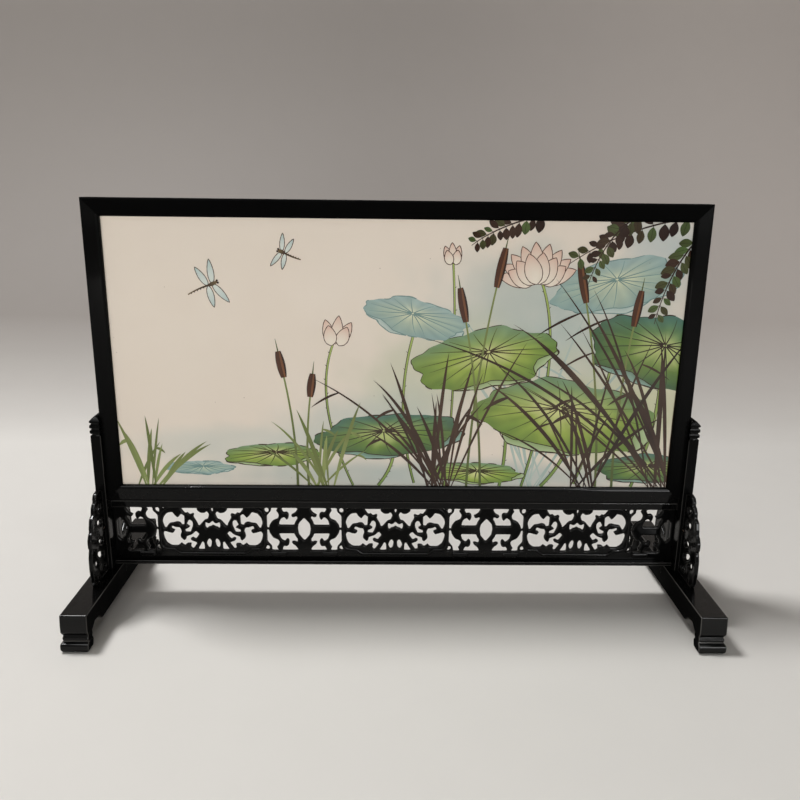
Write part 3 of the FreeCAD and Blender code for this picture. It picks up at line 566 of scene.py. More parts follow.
def facing_in(loops, sharpest=0.62):
    """Turns every outline so that the wood is on its left, and gives each point's way into the wood.

    sharpest keeps the way at a sharp corner from growing long.
    """
    def holds(loop, point):
        a, b = loop, np.roll(loop, -1, 0)
        spans = (a[:, 1] > point[1]) != (b[:, 1] > point[1])
        with np.errstate(divide="ignore", invalid="ignore"):
            cross = a[:, 0] + (point[1] - a[:, 1]) * (b[:, 0] - a[:, 0]) / (b[:, 1] - a[:, 1])
        return np.count_nonzero(spans & (point[0] < cross)) % 2

    turned, ways = [], []
    for loop in loops:
        nested = sum(holds(other, loop[0]) for other in loops if other is not loop) % 2
        loop = loop[::-1] if (swept_area(loop) < 0) != bool(nested) else loop
        run, length = edge_runs(loop)
        left = np.stack([-run[:, 1], run[:, 0]], 1) / length[:, None]
        both = left + np.roll(left, 1, 0)
        half = np.maximum(np.hypot(both[:, 0], both[:, 1]) / 2, sharpest)
        turned.append(loop)
        ways.append(both / 2 / half[:, None] ** 2)
    return turned, ways


def room_inside(loops, ways, crossing=0.42, folding=0.9, straight=1e-6, rounds=8):
    """How far each outline point can go in before it meets another edge or the outline folds over.

    crossing and folding are the shares of those ways that are used, straight is a turn too slight to fold,
    and neighbouring points are evened out in a few rounds.
    """
    starts, ends = np.concatenate(loops), np.concatenate([np.roll(loop, -1, 0) for loop in loops])
    run = ends - starts
    room = []
    for point, way in zip(starts, np.concatenate(ways)):
        way = way / max(np.hypot(*way), TINY)
        cross = way[0] * run[:, 1] - way[1] * run[:, 0]
        gap = starts - point
        with np.errstate(divide="ignore", invalid="ignore"):
            reach = (gap[:, 0] * run[:, 1] - gap[:, 1] * run[:, 0]) / cross
            share = (gap[:, 0] * way[1] - gap[:, 1] * way[0]) / cross
        hit = reach[(reach > MERGE) & (share >= 0) & (share <= 1)]
        room.append(crossing * hit.min() if len(hit) else 1.0)
    limits = np.split(np.array(room), np.cumsum([len(loop) for loop in loops])[:-1])
    for loop, way, limit in zip(loops, ways, limits):
        run, length = edge_runs(loop)
        closing = -np.sum((np.roll(way, -1, 0) - way) * run, 1) / length
        fold = np.where(closing > straight, folding * length / np.maximum(closing, straight), 1.0)
        np.minimum(limit, np.minimum(fold, np.roll(fold, 1)), out=limit)
        for _ in range(rounds):
            beside = np.minimum(np.roll(limit, 1) + np.roll(length, 1), np.roll(limit, -1) + length)
            np.minimum(limit, beside, out=limit)
    return np.concatenate(limits)


def rounding(radius, spread=1.0, steps=3):
    """The lines of a rounded edge, each with how far in and how deep it lies."""
    turns = [math.pi / 2 * k / steps for k in range(steps + 1)]
    return [(radius * spread * (1 - math.cos(a)), radius * (1 - math.sin(a))) for a in turns]


def rolled(radius, hollow):
    """The lines of a rolled edge that falls again into a shallow hollow."""
    return rounding(radius) + [(radius * 1.35, hollow * 0.4), (radius * 1.9, hollow)]


def carved_shell(bm, source, axis, level, low, high, shrink=0.0, square=False, dullness=None, opening=1.0):
    """Adds a board with the outline of a cut: low and high are its faces, each with a depth and an edge.

    shrink narrows the whole outline, square leaves the widest outline's edge as it is cut, dullness says how
    dull each point of the faces is, and opening is the share of each hole's width that is left open.
    """
    worn, dull = finish_layers(bm)
    loops, ways = facing_in(outlines(source, axis, level))
    for i, loop in enumerate(loops):
        if swept_area(loop) <= 0:
            loops[i] = loop.mean(0) + opening * (loop - loop.mean(0))
    room = room_inside(loops, ways)
    if square:
        widest = max(range(len(loops)), key=lambda i: np.ptp(loops[i][:, 0]))
        ways[widest] = ways[widest] * 0
    spots, ways = np.concatenate(loops), np.concatenate(ways)
    index = bm.verts.layers.int.get("spot") or bm.verts.layers.int.new("spot")
    flat = [i for i in range(3) if i != axis]

    # The faces are filled on the outline itself, and every point goes in to its own line afterwards.
    places = {}

    def put(vert, inset, reach, depth):
        spot = vert[index]
        share = min(1, room[spot] / max(reach, MERGE))
        vert.co[axis] = depth
        vert.co[flat[0]], vert.co[flat[1]] = spots[spot]
        places[vert] = ways[spot] * inset * share

    rim, first = [], 0
    for loop in loops:
        row = [bm.verts.new() for _ in loop]
        for i, vert in enumerate(row):
            vert[index] = first + i
            put(vert, shrink, 0.0, low[0] + low[1][0][1])
        first += len(loop)
        rim += [bm.edges.new((vert, row[i - 1])) for i, vert in enumerate(row)]
    for (depth, profile), sign in ((low, 1), (high, -1)):
        edges = rim
        reach = shrink + profile[-1][0]
        for inset, drop in profile[sign == 1:]:
            grown = bmesh.ops.extrude_edge_only(bm, edges=edges)["geom"]
            verts = {item for item in grown if isinstance(item, bmesh.types.BMVert)}
            for vert in verts:
                put(vert, shrink + inset, reach, depth + sign * drop)
                inner = inset == profile[-1][0]
                # The rounding's middle lines are painted grey, partly as wear and partly as a painted
                # highlight.
                vert[worn] = CARVED_WEAR_AND_HIGHLIGHT if inset and not inner else 0.0
                vert[dull] = dullness(*spots[vert[index]]) if dullness and inner else 0.0
            edges = [item for item in grown if isinstance(item, bmesh.types.BMEdge)
                     and item.verts[0] in verts and item.verts[1] in verts]
        bmesh.ops.triangle_fill(bm, use_beauty=True, use_dissolve=False, edges=edges)
    for vert, way in places.items():
        vert.co[flat[0]] += way[0]
        vert.co[flat[1]] += way[1]


def carved_copy(source, axis, shells, material):
    """Stands a lacquered copy with softly rounded carving in the place of a pierced solid."""
    bm = bmesh.new()
    for shell in shells:
        carved_shell(bm, source, axis, **shell)
    bmesh.ops.recalc_face_normals(bm, faces=bm.faces[:])
    lacquered(bm, source, "stand", material)


def dress_node(name, material):
    """Gives a carried-over solid its finish."""
    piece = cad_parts[name]
    piece.data.materials.clear()
    piece.data.materials.append(material)


def cloud_value(u, v, size, seed):
    """Soft noise from about -1 to 1 at a point of the plaque."""
    return noise.fractal(Vector((u / size, v / size, seed * 7.31)), 1.0, 2.0, 3)


def curve_point(path, t):
    """Where a curve of three control points is at t, and its unit normal."""
    a, b, c = (Vector(point) for point in path)
    spot = a * (1 - t) ** 2 + b * (2 * t * (1 - t)) + c * t * t
    heading = (b - a) * (1 - t) + (c - b) * t
    if heading.length < TINY:
        heading = c - a
    return spot, Vector((-heading.y, heading.x)).normalized()


def curve_through(first, middle, last):
    """The control points of a curve that runs through three points."""
    return first, middle * 2 - (first + last) / 2, last


class Enamel:
    """One object's worth of enamel touches, laid on the plaque in layers.

    In enamel steps, the touches start LIFT above the plaque, TOUCHES of them rise by one step in all, and
    the enamel is BODY thick.
    """

    LIFT, BODY, TOUCHES = 8, 12, 40

    def __init__(self, look, layer=0):
        self.look = look
        self.bm = bmesh.new()
        self.paint = self.bm.verts.layers.float_color.new(PAINT)
        self.layer = layer

    def touch(self, across, along, place, colour):
        """Lays a grid: place and colour take s across and t along it, both from 0 to 1."""
        self.layer += 1
        height = (self.LIFT + self.layer / self.TOUCHES) * self.look.enamel_step
        made = bmesh.ops.create_grid(self.bm, x_segments=across, y_segments=along, size=0.5)["verts"]
        for vert in made:
            s, t = vert.co.x + 0.5, vert.co.y + 0.5
            u, v = place(s, t)
            vert[self.paint] = (*colour(s, t), 1)
            vert.co = (PLAQUE_LOW.x + u * MM, PLAQUE_LOW.y - height, PLAQUE_LOW.z + v * MM)

    def stroke(self, path, width, colours, root=0.3, belly=0.75, tip=0.0, along=14, across=2):
        """One pull of the brush along a curve, broad where the brush is pressed."""
        first, last = colours

        def place(s, t):
            spot, normal = curve_point(path, t)
            breadth = width * (root * (1 - t) + tip * t + belly * 4 * t * (1 - t))
            return spot + normal * (s - 0.5) * breadth

        def colour(s, t):
            spot = place(s, t)
            streak = 0.16 * cloud_value(spot.x, spot.y, 5, self.layer)
            return mixed(first, last, min(1, max(0, t + streak)))

        self.touch(across, along, place, colour)

    def line(self, path, width, colour, root, belly, tip, along):
        """A thin stroke in one colour."""
        self.stroke(path, width, (colour, colour), root, belly, tip, along, across=1)

    def finish(self, name):
        """Trims the touches at the frame, gives them their thickness and makes the piece."""
        bm = self.bm
        middle = (PLAQUE_LOW + PLAQUE_HIGH) / 2
        bmesh.ops.remove_doubles(bm, verts=bm.verts[:], dist=MERGE / 20)
        for axis in (Vector((1, 0, 0)), Vector((0, 0, 1))):
            half = (PLAQUE_HIGH - PLAQUE_LOW).dot(axis) / 2 - HIDDEN_EDGE * MM
            for side in (-1, 1):
                sliced(bm, middle + axis * side * half, axis * side, MERGE / 100, clear_outer=True)
        bmesh.ops.reverse_faces(bm, faces=[face for face in bm.faces if face.normal.y > 0])
        piece = finished(name, mesh_from(bm, name), "screen", painted_porcelain(self.look))
        body = piece.modifiers.new("Enamel body", "SOLIDIFY")
        body.thickness = self.BODY * self.look.enamel_step
        body.offset = -1


def paint_leaf(enamel, leaf):
    """A lotus leaf: a wavy pad whose colour runs out from its heart, with its veins and turned rim."""
    u, v, half_u, half_v, tilt, tone, seed = leaf
    heart_colour, inner, outer, far, vein, under = (linear(c) for c in LEAF_TONES[tone])
    turn = Matrix.Rotation(math.radians(tilt), 2)
    middle = Vector((u, v))
    heart = Vector((0.1 * half_u * math.sin(seed), 0.24 * half_v))

    def rim(angle):
        wave = (1 + 0.05 * math.sin(5 * angle + seed) + 0.035 * math.sin(8 * angle + 2.3 * seed)
                + 0.02 * math.sin(17 * angle + 0.7 * seed))
        return Vector((half_u * math.cos(angle) * wave, half_v * math.sin(angle) * wave))

    def on_leaf(angle, t):
        return middle + turn @ heart.lerp(rim(angle), t)

    def colour(s, t):
        angle = 2 * math.pi * s
        spot = on_leaf(angle, t)
        blot = cloud_value(spot.x, spot.y, 16, seed)
        streak = cloud_value(14 * s * math.pi, 2.2 * t, 1.0, seed + 0.5)
        share = min(1, max(0, t * 1.15 - 0.12 + 0.22 * blot))
        base = mixed(heart_colour, inner, min(1, share * 2.2)) if share < 0.45 else mixed(
            inner, outer, (share - 0.45) / 0.55)
        base = mixed(base, far, max(0, math.sin(angle)) * 0.75 * t)
        fold = 0.5 + 0.5 * math.cos(18 * angle + seed)
        base = mixed(base, tuple(0.55 * c for c in outer), 0.42 * fold * t * (1 - 0.5 * t) + 0.12 * streak)
        return tuple(max(0.002, c) for c in base)

    enamel.touch(108, 12, lambda s, t: on_leaf(2 * math.pi * s, t), colour)
    draw = random.Random(seed + enamel.look.seed)
    veins, fold_lines, rim_lines = 15, 4, 34
    for i in range(veins):
        angle = 2 * math.pi * (i + 0.35 * draw.random()) / veins
        sway = 0.12 * (draw.random() - 0.5)
        path = (on_leaf(angle, 0.03), on_leaf(angle + sway, 0.5), on_leaf(angle - sway, 0.9))
        width = 0.9 if tone != "mist" else 0.7
        enamel.stroke(path, width, (vein, mixed(vein, outer, 0.5)), root=1.0, belly=0.1, tip=0.35, along=9,
                      across=1)
    for start, length in ((draw.uniform(3.4, 4.2), 1.1), (draw.uniform(5.2, 5.7), 0.8)):
        def fold_place(s, t, start=start, length=length):
            angle = start + length * t
            depth = 0.17 * math.sin(math.pi * t)
            return on_leaf(angle, 1.0 - depth * (1 - s) + 0.01)

        enamel.touch(3, 22, fold_place, lambda s, t: mixed(under, outer, 0.55 * (1 - s)))
        for share in (0.0, 1.0):
            for k in range(fold_lines):
                path = curve_through(*(fold_place(share, (k + j / 2) / fold_lines) for j in range(3)))
                enamel.line(path, 0.6, vein, root=0.9, belly=0.2, tip=0.9, along=5)
    for k in range(rim_lines):
        if draw.random() < 0.3:
            continue
        path = curve_through(*(on_leaf(2 * math.pi * (k + j / 2) / rim_lines, 1.0) for j in range(3)))
        enamel.line(path, draw.uniform(0.4, 0.95), vein, root=0.7, belly=0.35, tip=0.6, along=4)


def paint_stem(enamel, stem):
    """A leaf's stem, pale on one side and dark on the other, with its short prickles."""
    foot, bend, head, width = stem
    path = (foot, bend, head)
    pale, green, dark = linear("A9BC66"), linear("6F8C45"), linear("2C1A11")
    enamel.stroke(path, width, (green, pale), root=1.05, belly=0.0, tip=0.8, along=20)
    for side, breadth in ((0.42, 0.55), (-0.45, 0.3)):
        def shifted(t, side=side):
            spot, normal = curve_point(path, t)
            return spot + normal * side * width

        edge = curve_through(shifted(0), shifted(0.5), shifted(1))
        enamel.line(edge, breadth, dark, root=1.0, belly=0.2, tip=0.6, along=20)
    draw = random.Random(int(foot[0]) + enamel.look.seed)
    for k in range(9):
        spot, normal = curve_point(path, 0.08 + 0.1 * k)
        out = normal * draw.choice((-1, 1)) * width * 0.5
        prickle = (spot + out, spot + out * 1.5 + Vector((0, 0.3)), spot + out * 2.2 + Vector((0, 0.9)))
        enamel.line(prickle, 0.5, dark, root=0.9, belly=0.2, tip=0.1, along=3)


def paint_reeds(enamel, clump):
    """A clump of reed blades that fan out of one root, a few of them broken over."""
    u, v, lean, spread, length, count, tone, seed = clump
    first, last = (linear(c) for c in REED_TONES[tone])
    draw = random.Random(seed + enamel.look.seed)
    for i in range(count):
        angle = math.radians(lean + spread * (i / max(1, count - 1) - 0.5) + draw.uniform(-6, 6))
        reach = length * draw.uniform(0.5, 1.05)
        root = Vector((u + draw.uniform(-9, 9), v - 2))
        ahead = Vector((-math.sin(angle), math.cos(angle)))
        droop = Vector((-math.sin(angle) * reach * draw.uniform(0.1, 0.5), -reach * draw.uniform(0.0, 0.16)))
        tip = root + ahead * reach + droop
        bend = root + ahead * reach * 0.62
        width = draw.uniform(1.6, 3.3) * (0.8 if tone == "far" else 1)
        ends = (mixed(first, last, draw.random()), mixed(first, last, draw.random()))
        enamel.stroke((root, bend, tip), width, ends, root=0.35, belly=0.72, along=18)
        if draw.random() < 0.25:
            fall = Vector((math.copysign(0.18, tip.x - root.x), -0.1)) * reach
            knee, _ = curve_point((root, bend, tip), 0.8)
            broken = (knee, knee + fall * 0.5 + Vector((0, 2.5)), knee + fall)
            enamel.stroke(broken, width * 0.9, ends, root=0.5, belly=0.7, along=10)


def paint_spray(enamel, spray):
    """A hanging spray: a thin stalk with rounded leaves in pairs, smaller towards its tip."""
    path, length, seed = spray
    dark, brown, green = linear("21100C"), linear("3B2419"), linear("4F6A35")
    draw = random.Random(seed + enamel.look.seed)
    enamel.stroke(path, 1.0, (dark, brown), root=1.2, belly=0.1, tip=0.4, along=20, across=1)
    pairs = 11
    for k in range(pairs):
        t = 0.06 + 0.92 * k / pairs
        spot, normal = curve_point(path, t)
        ahead = Vector((normal.y, -normal.x))
        for side in (-1, 1):
            reach = length * (1.1 - 0.5 * t) * draw.uniform(0.8, 1.15)
            way = (ahead * draw.uniform(0.25, 0.7) + normal * side).normalized()
            way = (way + Vector((0, -0.3))).normalized()
            root = spot + way * 1.2
            ground = green if draw.random() < 0.45 else dark
            tint = mixed(ground, brown, draw.random())
            leaf = (root, root + way * reach * 0.5, root + way * reach)
            enamel.stroke(leaf, reach * draw.uniform(0.5, 0.62), (tint, mixed(tint, dark, 0.4)), root=0.1,
                          belly=1.0, tip=0.12, along=12, across=3)
            rib = (spot, root, root + way * reach * 0.9)
            enamel.line(rib, 0.35, dark, root=1, belly=0, tip=0.5, along=6)


def paint_bulrush(enamel, bulrush):
    """A bulrush: a straight stalk, the velvety brown head and the bare spike above it."""
    foot, top, lean, length = bulrush
    foot, top = Vector(foot), Vector(top)
    bend = (foot + top) / 2 + Vector((lean, 0))
    olive, pale = linear("4E5A2C"), linear("7E8B4E")
    dark, brown, ridge = linear("25110B"), linear("4A2614"), linear("7A4A2A")
    enamel.stroke((foot, bend, top), 1.7, (olive, pale), root=1.1, belly=0.0, tip=0.7, along=20)
    ahead = (top - bend).normalized()
    end = top + ahead * length
    for width, shift, tint in ((6.2, 0.0, dark), (4.6, 0.5, brown), (1.5, -0.9, ridge)):
        off = Vector((-ahead.y, ahead.x)) * shift
        head = (top + off, (top + end) / 2 + off, end + off)
        enamel.stroke(head, width, (tint, mixed(tint, dark, 0.3)), root=0.62, belly=0.38, tip=0.6, along=14,
                      across=3)
    spike = (end, end + ahead * 4, end + ahead * 9)
    enamel.line(spike, 1.0, olive, root=0.9, belly=0.1, tip=0.2, along=6)


def paint_petal(enamel, root, way, length, width, colours):
    """One petal with a pointed tip and a drawn outline."""
    side = Vector((-way.y, way.x))
    base, tip, line = colours

    def place(s, t):
        breadth = width * math.sin(math.pi * min(1, t ** 0.8)) ** 0.75 if 0 < t < 1 else 0.0
        return root + way * length * t + side * (s - 0.5) * breadth

    def colour(s, t):
        rib = 0.5 + 0.5 * math.cos(18 * math.pi * s)
        return mixed(mixed(base, tip, min(1, max(0, t * 1.2 - 0.25)) ** 1.5), tip, 0.12 * rib)

    enamel.touch(8, 14, place, colour)
    side_lines = 5
    for s in (0.0, 1.0):
        for k in range(side_lines):
            path = curve_through(*(place(s, (k + j / 2) / side_lines) for j in range(3)))
            enamel.line(path, 0.55, line, root=0.8, belly=0.25, tip=0.8, along=4)


def paint_blossom(enamel, blossom):
    """A lotus blossom or bud: back petals first, then the ones in front."""
    u, v, length, lean, opening = blossom
    middle = Vector((u, v - 0.3 * length))
    colours = (linear("F1E7D6"), linear("DDB6A4"), linear("4A2A20"))
    petals = 9 if opening > 60 else 3
    for row, (count, reach, breadth) in enumerate(((petals, 1.0, 0.4), (max(2, petals - 3), 0.82, 0.44))):
        order = sorted(range(count), key=lambda i: -abs(i - (count - 1) / 2))
        for i in order:
            share = i / (count - 1) - 0.5
            angle = math.radians(lean + opening * share * (1 - 0.25 * row))
            way = Vector((-math.sin(angle), math.cos(angle)))
            size = length * reach * (1 - 0.25 * abs(share))
            paint_petal(enamel, middle + Vector((-share * length * 0.25, -row * length * 0.06)), way, size,
                        length * breadth, colours)


def paint_dragonfly(enamel, fly):
    """A dragonfly: four gauzy wings, a jointed tail, a thick chest and round eyes."""
    u, v, length, heading = fly
    middle = Vector((u, v))
    ahead = Vector((math.cos(math.radians(heading)), math.sin(math.radians(heading))))
    side = Vector((-ahead.y, ahead.x))
    dark, tail = linear("2A1512"), linear("6B5A36")
    wing = (linear("D9E0D8"), linear("A9C1C0"), linear("53443A"))
    for lift in (1, -1):
        for sweep, size in ((0.32, 0.62), (-0.18, 0.56)):
            way = (side * lift + ahead * sweep).normalized()
            root = middle + ahead * math.copysign(0.06, sweep) * length
            paint_petal(enamel, root, way, size * length, 0.16 * length, wing)
    back = middle - ahead * length * 0.62
    enamel.stroke((middle, (middle + back) / 2 + side * 0.04 * length, back), 1.5, (dark, tail), root=0.9,
                  belly=0.0, tip=0.55, along=12)
    for k in range(6):
        spot = middle.lerp(back, 0.15 + 0.14 * k)
        enamel.line((spot - side * 0.6, spot, spot + side * 0.6), 0.5, dark, root=1, belly=0, tip=1, along=2)
    chest = middle + ahead * 0.2 * length
    enamel.stroke((middle - ahead, middle + ahead, chest), 2.6, (dark, tail), root=0.5, belly=0.6, tip=0.4,
                  along=10)
    for lift in (1, -1):
        eye = chest + side * lift * 0.8
        enamel.stroke((eye - ahead * 0.8, eye, eye + ahead * 0.8), 1.4, (dark, dark), root=0.2, belly=0.9,
                      tip=0.2, along=6)


def wash_colours(us, vs, ground):
    """The plaque's colour at each point, with the soft washes laid on its ground one by one.

    Each wash fades out at its rim, which clouds of about 34 mm make ragged.
    """
    cloud, first_seed, ragged_share, outside, fade = 34, 40, 0.3, 1.15, 0.85
    colours = np.ones((len(us), 4), np.float32)
    colours[:, :3] = ground
    for index, (u, v, half_u, half_v, tilt, tint, strength) in enumerate(WASHES):
        turn = math.radians(tilt)
        right, rise = us - u, vs - v
        along = (right * math.cos(turn) + rise * math.sin(turn)) / half_u
        off = (rise * math.cos(turn) - right * math.sin(turn)) / half_v
        ragged = np.array([cloud_value(a, b, cloud, index + first_seed) for a, b in zip(us, vs)])
        edge = np.sqrt(along ** 2 + off ** 2) + ragged_share * ragged
        amount = np.clip((outside - edge) / fade, 0, 1)
        amount = strength * amount * amount * (3 - 2 * amount) * (1 + 0.25 * ragged)
        amount = np.clip(amount, 0, 1)[:, None]
        colours[:, :3] += (np.array(linear(tint)) - colours[:, :3]) * amount
    return colours


class TABLESCREEN_OT_plaque(Operator):
    """Makes the porcelain plaque with its soft washes of colour"""

    bl_idname = "table_screen.plaque"
    bl_label = "Porcelain plaque"

    def execute(self, context):
        look = context.scene.table_screen
        across = round(PLAQUE_WIDTH * MM / look.wash_cell)
        up = round(PLAQUE_HEIGHT * MM / look.wash_cell)
        bm = bmesh.new()
        bmesh.ops.create_grid(bm, x_segments=across, y_segments=up, size=0.5)
        bmesh.ops.scale(bm, vec=(PLAQUE_WIDTH * MM, PLAQUE_HEIGHT * MM, 1), verts=bm.verts[:])
        bmesh.ops.rotate(bm, matrix=Matrix.Rotation(math.pi / 2, 3, "X"), verts=bm.verts[:])
        middle = (PLAQUE_LOW + PLAQUE_HIGH) / 2
        bmesh.ops.translate(bm, vec=(middle.x, PLAQUE_LOW.y, middle.z), verts=bm.verts[:])
        rim = [edge for edge in bm.edges if edge.is_boundary]
        sides = bmesh.ops.extrude_edge_only(bm, edges=rim)["geom"]
        back = [item for item in sides if isinstance(item, bmesh.types.BMVert)]
        bmesh.ops.translate(bm, vec=(0, PLAQUE_HIGH.y - PLAQUE_LOW.y, 0), verts=back)
        bmesh.ops.holes_fill(bm, edges=[edge for edge in bm.edges if edge.is_boundary], sides=0)
        bmesh.ops.recalc_face_normals(bm, faces=bm.faces[:])
        mesh = mesh_from(bm, "painted_plaque")
        spots = np.zeros(len(mesh.vertices) * 3, np.float32)
        mesh.vertices.foreach_get("co", spots)
        spots = spots.reshape(-1, 3)
        us = (spots[:, 0] - PLAQUE_LOW.x) / MM
        vs = (spots[:, 2] - PLAQUE_LOW.z) / MM
        colours = wash_colours(us, vs, np.array(look.porcelain))
        paint = mesh.color_attributes.new(PAINT, "FLOAT_COLOR", "POINT")
        paint.data.foreach_set("color", colours.ravel())
        piece = finished("painted_plaque", mesh, "screen", painted_porcelain(look))
        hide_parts("porcelain_plaque")
        return {"FINISHED"}


class TABLESCREEN_OT_painting(Operator):
    """Paints a pond on the plaque: lotus leaves, reeds, bulrushes, blossoms and dragonflies"""

    bl_idname = "table_screen.painting"
    bl_label = "Enamel painting"

    def execute(self, context):
        look = context.scene.table_screen
        painted = {
            "enamel_lotus_leaves": ((paint_reeds, REEDS[:1]), (paint_stem, STEMS), (paint_leaf, LEAVES)),
            "enamel_blossoms": ((paint_blossom, BLOSSOMS), (paint_dragonfly, DRAGONFLIES)),
            "enamel_reeds": ((paint_bulrush, BULRUSHES), (paint_reeds, REEDS[1:]), (paint_spray, SPRAYS)),
        }
        layer = 0
        for name, rounds in painted.items():
            enamel = Enamel(look, layer)
            for paint, motifs in rounds:
                for motif in motifs:
                    paint(enamel, motif)
            layer = enamel.layer
            enamel.finish(name)
        return {"FINISHED"}


class TABLESCREEN_OT_frame(Operator):
    """Rounds and lacquers the four members of the mitred frame"""

    bl_idname = "table_screen.frame"
    bl_label = "Mitred frame"

    def execute(self, context):
        look = context.scene.table_screen
        inside = {"top": (0, 0, -1), "bottom": (0, 0, 1), "left": (1, 0, 0), "right": (-1, 0, 0)}
        for member in FRAME_MEMBERS:
            grain = "X" if member.endswith("rail") else "Z"
            inward = inside[member.split("_")[1]]
            wide = [(inward, look.sight_edge)]
            if member == "frame_bottom_rail":
                wide.append(((0, 0, -1), look.seat_edge))
            rounded_copy(member, look.frame_edge, "screen", black_lacquer(look, grain), segments=3,
                         dull_sides=[((0, 0, -1), 1.0)], facing=0.3, wide=wide)
        dress_node("corner_keys", black_lacquer(look, "X"))
        return {"FINISHED"}


class TABLESCREEN_OT_back(Operator):
    """Finishes the padding, the back board, its beads and their pins"""

    bl_idname = "table_screen.back"
    bl_label = "Back of the frame"

    def execute(self, context):
        look = context.scene.table_screen
        # Pressed wool has a soft matt face with flecks of fibre.
        felt = small_material("Matted wool felt", look.felt, grain_mm=0.6, depth_mm=0.3, spread=0.35,
                              Roughness=0.95, Sheen_Weight=0.4)
        # Drawn brass wire that age has dulled has a warm, broken shine.
        brass = small_material("Dull brass wire", look.brass, grain_mm=0.5, depth_mm=0.02, spread=0.25,
                               Roughness=0.4, Metallic=1.0)
        dress_node("plaque_padding", felt)
        dress_node("bead_pins", brass)
        thin_coat = black_lacquer(look, "X", polish=0.5, thin=True)
        rounded_copy("back_board", look.board_edge, "screen", thin_coat)
        for bead in BACK_BEADS:
            grain = "X" if bead.endswith(("top", "bottom")) else "Z"
            rounded_copy(bead, look.stand_edge, "screen", black_lacquer(look, grain, polish=0.5, thin=True),
                         segments=3, shortest=2.5 * MM)
        return {"FINISHED"}


class TABLESCREEN_OT_posts(Operator):
    """Rounds and lacquers the ridged posts and dresses their pegs"""

    bl_idname = "table_screen.posts"
    bl_label = "Posts"

    def execute(self, context):
        look = context.scene.table_screen
        for post in POSTS:
            # The posts' edges are painted grey, as wear and as a painted highlight.
            rounded_copy(post, look.stand_edge, "stand", black_lacquer(look, "Z"), shortest=15 * MM,
                         wear_and_highlight=1.0, dull_sides=[((0, -1, 0), 0.75)])
        # Stained end grain drinks its stain, so it is matt and nearly black.
        pegs = small_material("Black stained end grain", look.lacquer, grain_mm=0.4, depth_mm=0.1,
                              spread=0.02, Roughness=0.9, Specular_IOR_Level=0.05)
        dress_node("post_pegs", pegs)
        return {"FINISHED"}


class TABLESCREEN_OT_feet(Operator):
    """Rounds and lacquers the feet"""

    bl_idname = "table_screen.feet"
    bl_label = "Feet"

    def execute(self, context):
        look = context.scene.table_screen
        for foot in FEET:
            inward = (-math.copysign(1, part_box(foot)[0].x), 0, 0)
            # The feet's edges are painted grey, as wear and as a painted highlight.
            rounded_copy(foot, look.foot_edge, "stand", black_lacquer(look, "Y", polish=0.6), merge=0.2 * MM,
                         clamp=False, wear_and_highlight=1.6, spared="post_pegs",
                         dull_sides=[(inward, 1.0), ((0, -1, 0), 0.35)])
        return {"FINISHED"}


class TABLESCREEN_OT_brackets(Operator):
    """Rounds and lacquers the pierced brackets and dresses their dowels"""

    bl_idname = "table_screen.brackets"
    bl_label = "Pierced brackets"

    def execute(self, context):
        look = context.scene.table_screen
        scroll = rolled(look.scroll_edge, look.hollow)
        for bracket in BRACKETS:
            low, high = (corner.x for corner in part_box(bracket))
            shell = dict(level=(low + high) / 2, low=(low, scroll), high=(high, scroll),
                         opening=BRACKET_OPENING)
            carved_copy(bracket, 0, [shell], black_lacquer(look, "Z"))
        # Bare end grain is a warm brown with open fibres.
        dowels = small_material("Bare hardwood end grain", look.hardwood, grain_mm=0.4, depth_mm=0.1,
                                spread=0.4, Roughness=0.7)
        dress_node("bracket_dowels", dowels)
        return {"FINISHED"}


def scroll_dullness(x, z):
    """How dull the fretwork is at a point: a cloth polishes the knots' bars and the lower strip alone."""
    middle, half, beside = KNOT_BAR
    bar = abs(z - middle) < half and min(abs(abs(x) - knot) for knot in KNOTS) < beside
    return 0.0 if bar or z < STRIP_TOP else SCROLL_DULLNESS


class TABLESCREEN_OT_apron(Operator):
    """Rounds and lacquers the fretwork panel and the rails above and below it"""

    bl_idname = "table_screen.apron"
    bl_label = "Fretwork apron"

    def execute(self, context):
        look = context.scene.table_screen
        for rail in APRON_RAILS:
            # The rails' edges are painted grey, as wear and as a painted highlight, cut across so it shows
            # along them.
            rounded_copy(rail, look.stand_edge, "stand", black_lacquer(look, "X"), wear_and_highlight=0.9, cuts=5)
        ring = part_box("apron_panel")[1].y
        board = ring - SOLID_RELIEF
        cut, proud = (board + ring) / 2, board + look.relief
        sunk = board - look.carving_edge - RING_ROOT
        pillow, bead, plain = rounding(look.carving_edge, 1.4), rounding(look.relief), [(0.0, 0.0)]
        shells = [dict(level=0.0, low=(-board, pillow), high=(board, pillow), square=True,
                       dullness=scroll_dullness),
                  dict(level=-cut, low=(-proud, bead), high=(-sunk, plain), shrink=RING_SHRINK),
                  dict(level=cut, low=(sunk, plain), high=(proud, bead), shrink=RING_SHRINK)]
        carved_copy("apron_panel", 1, shells, black_lacquer(look, "X"))
        return {"FINISHED"}


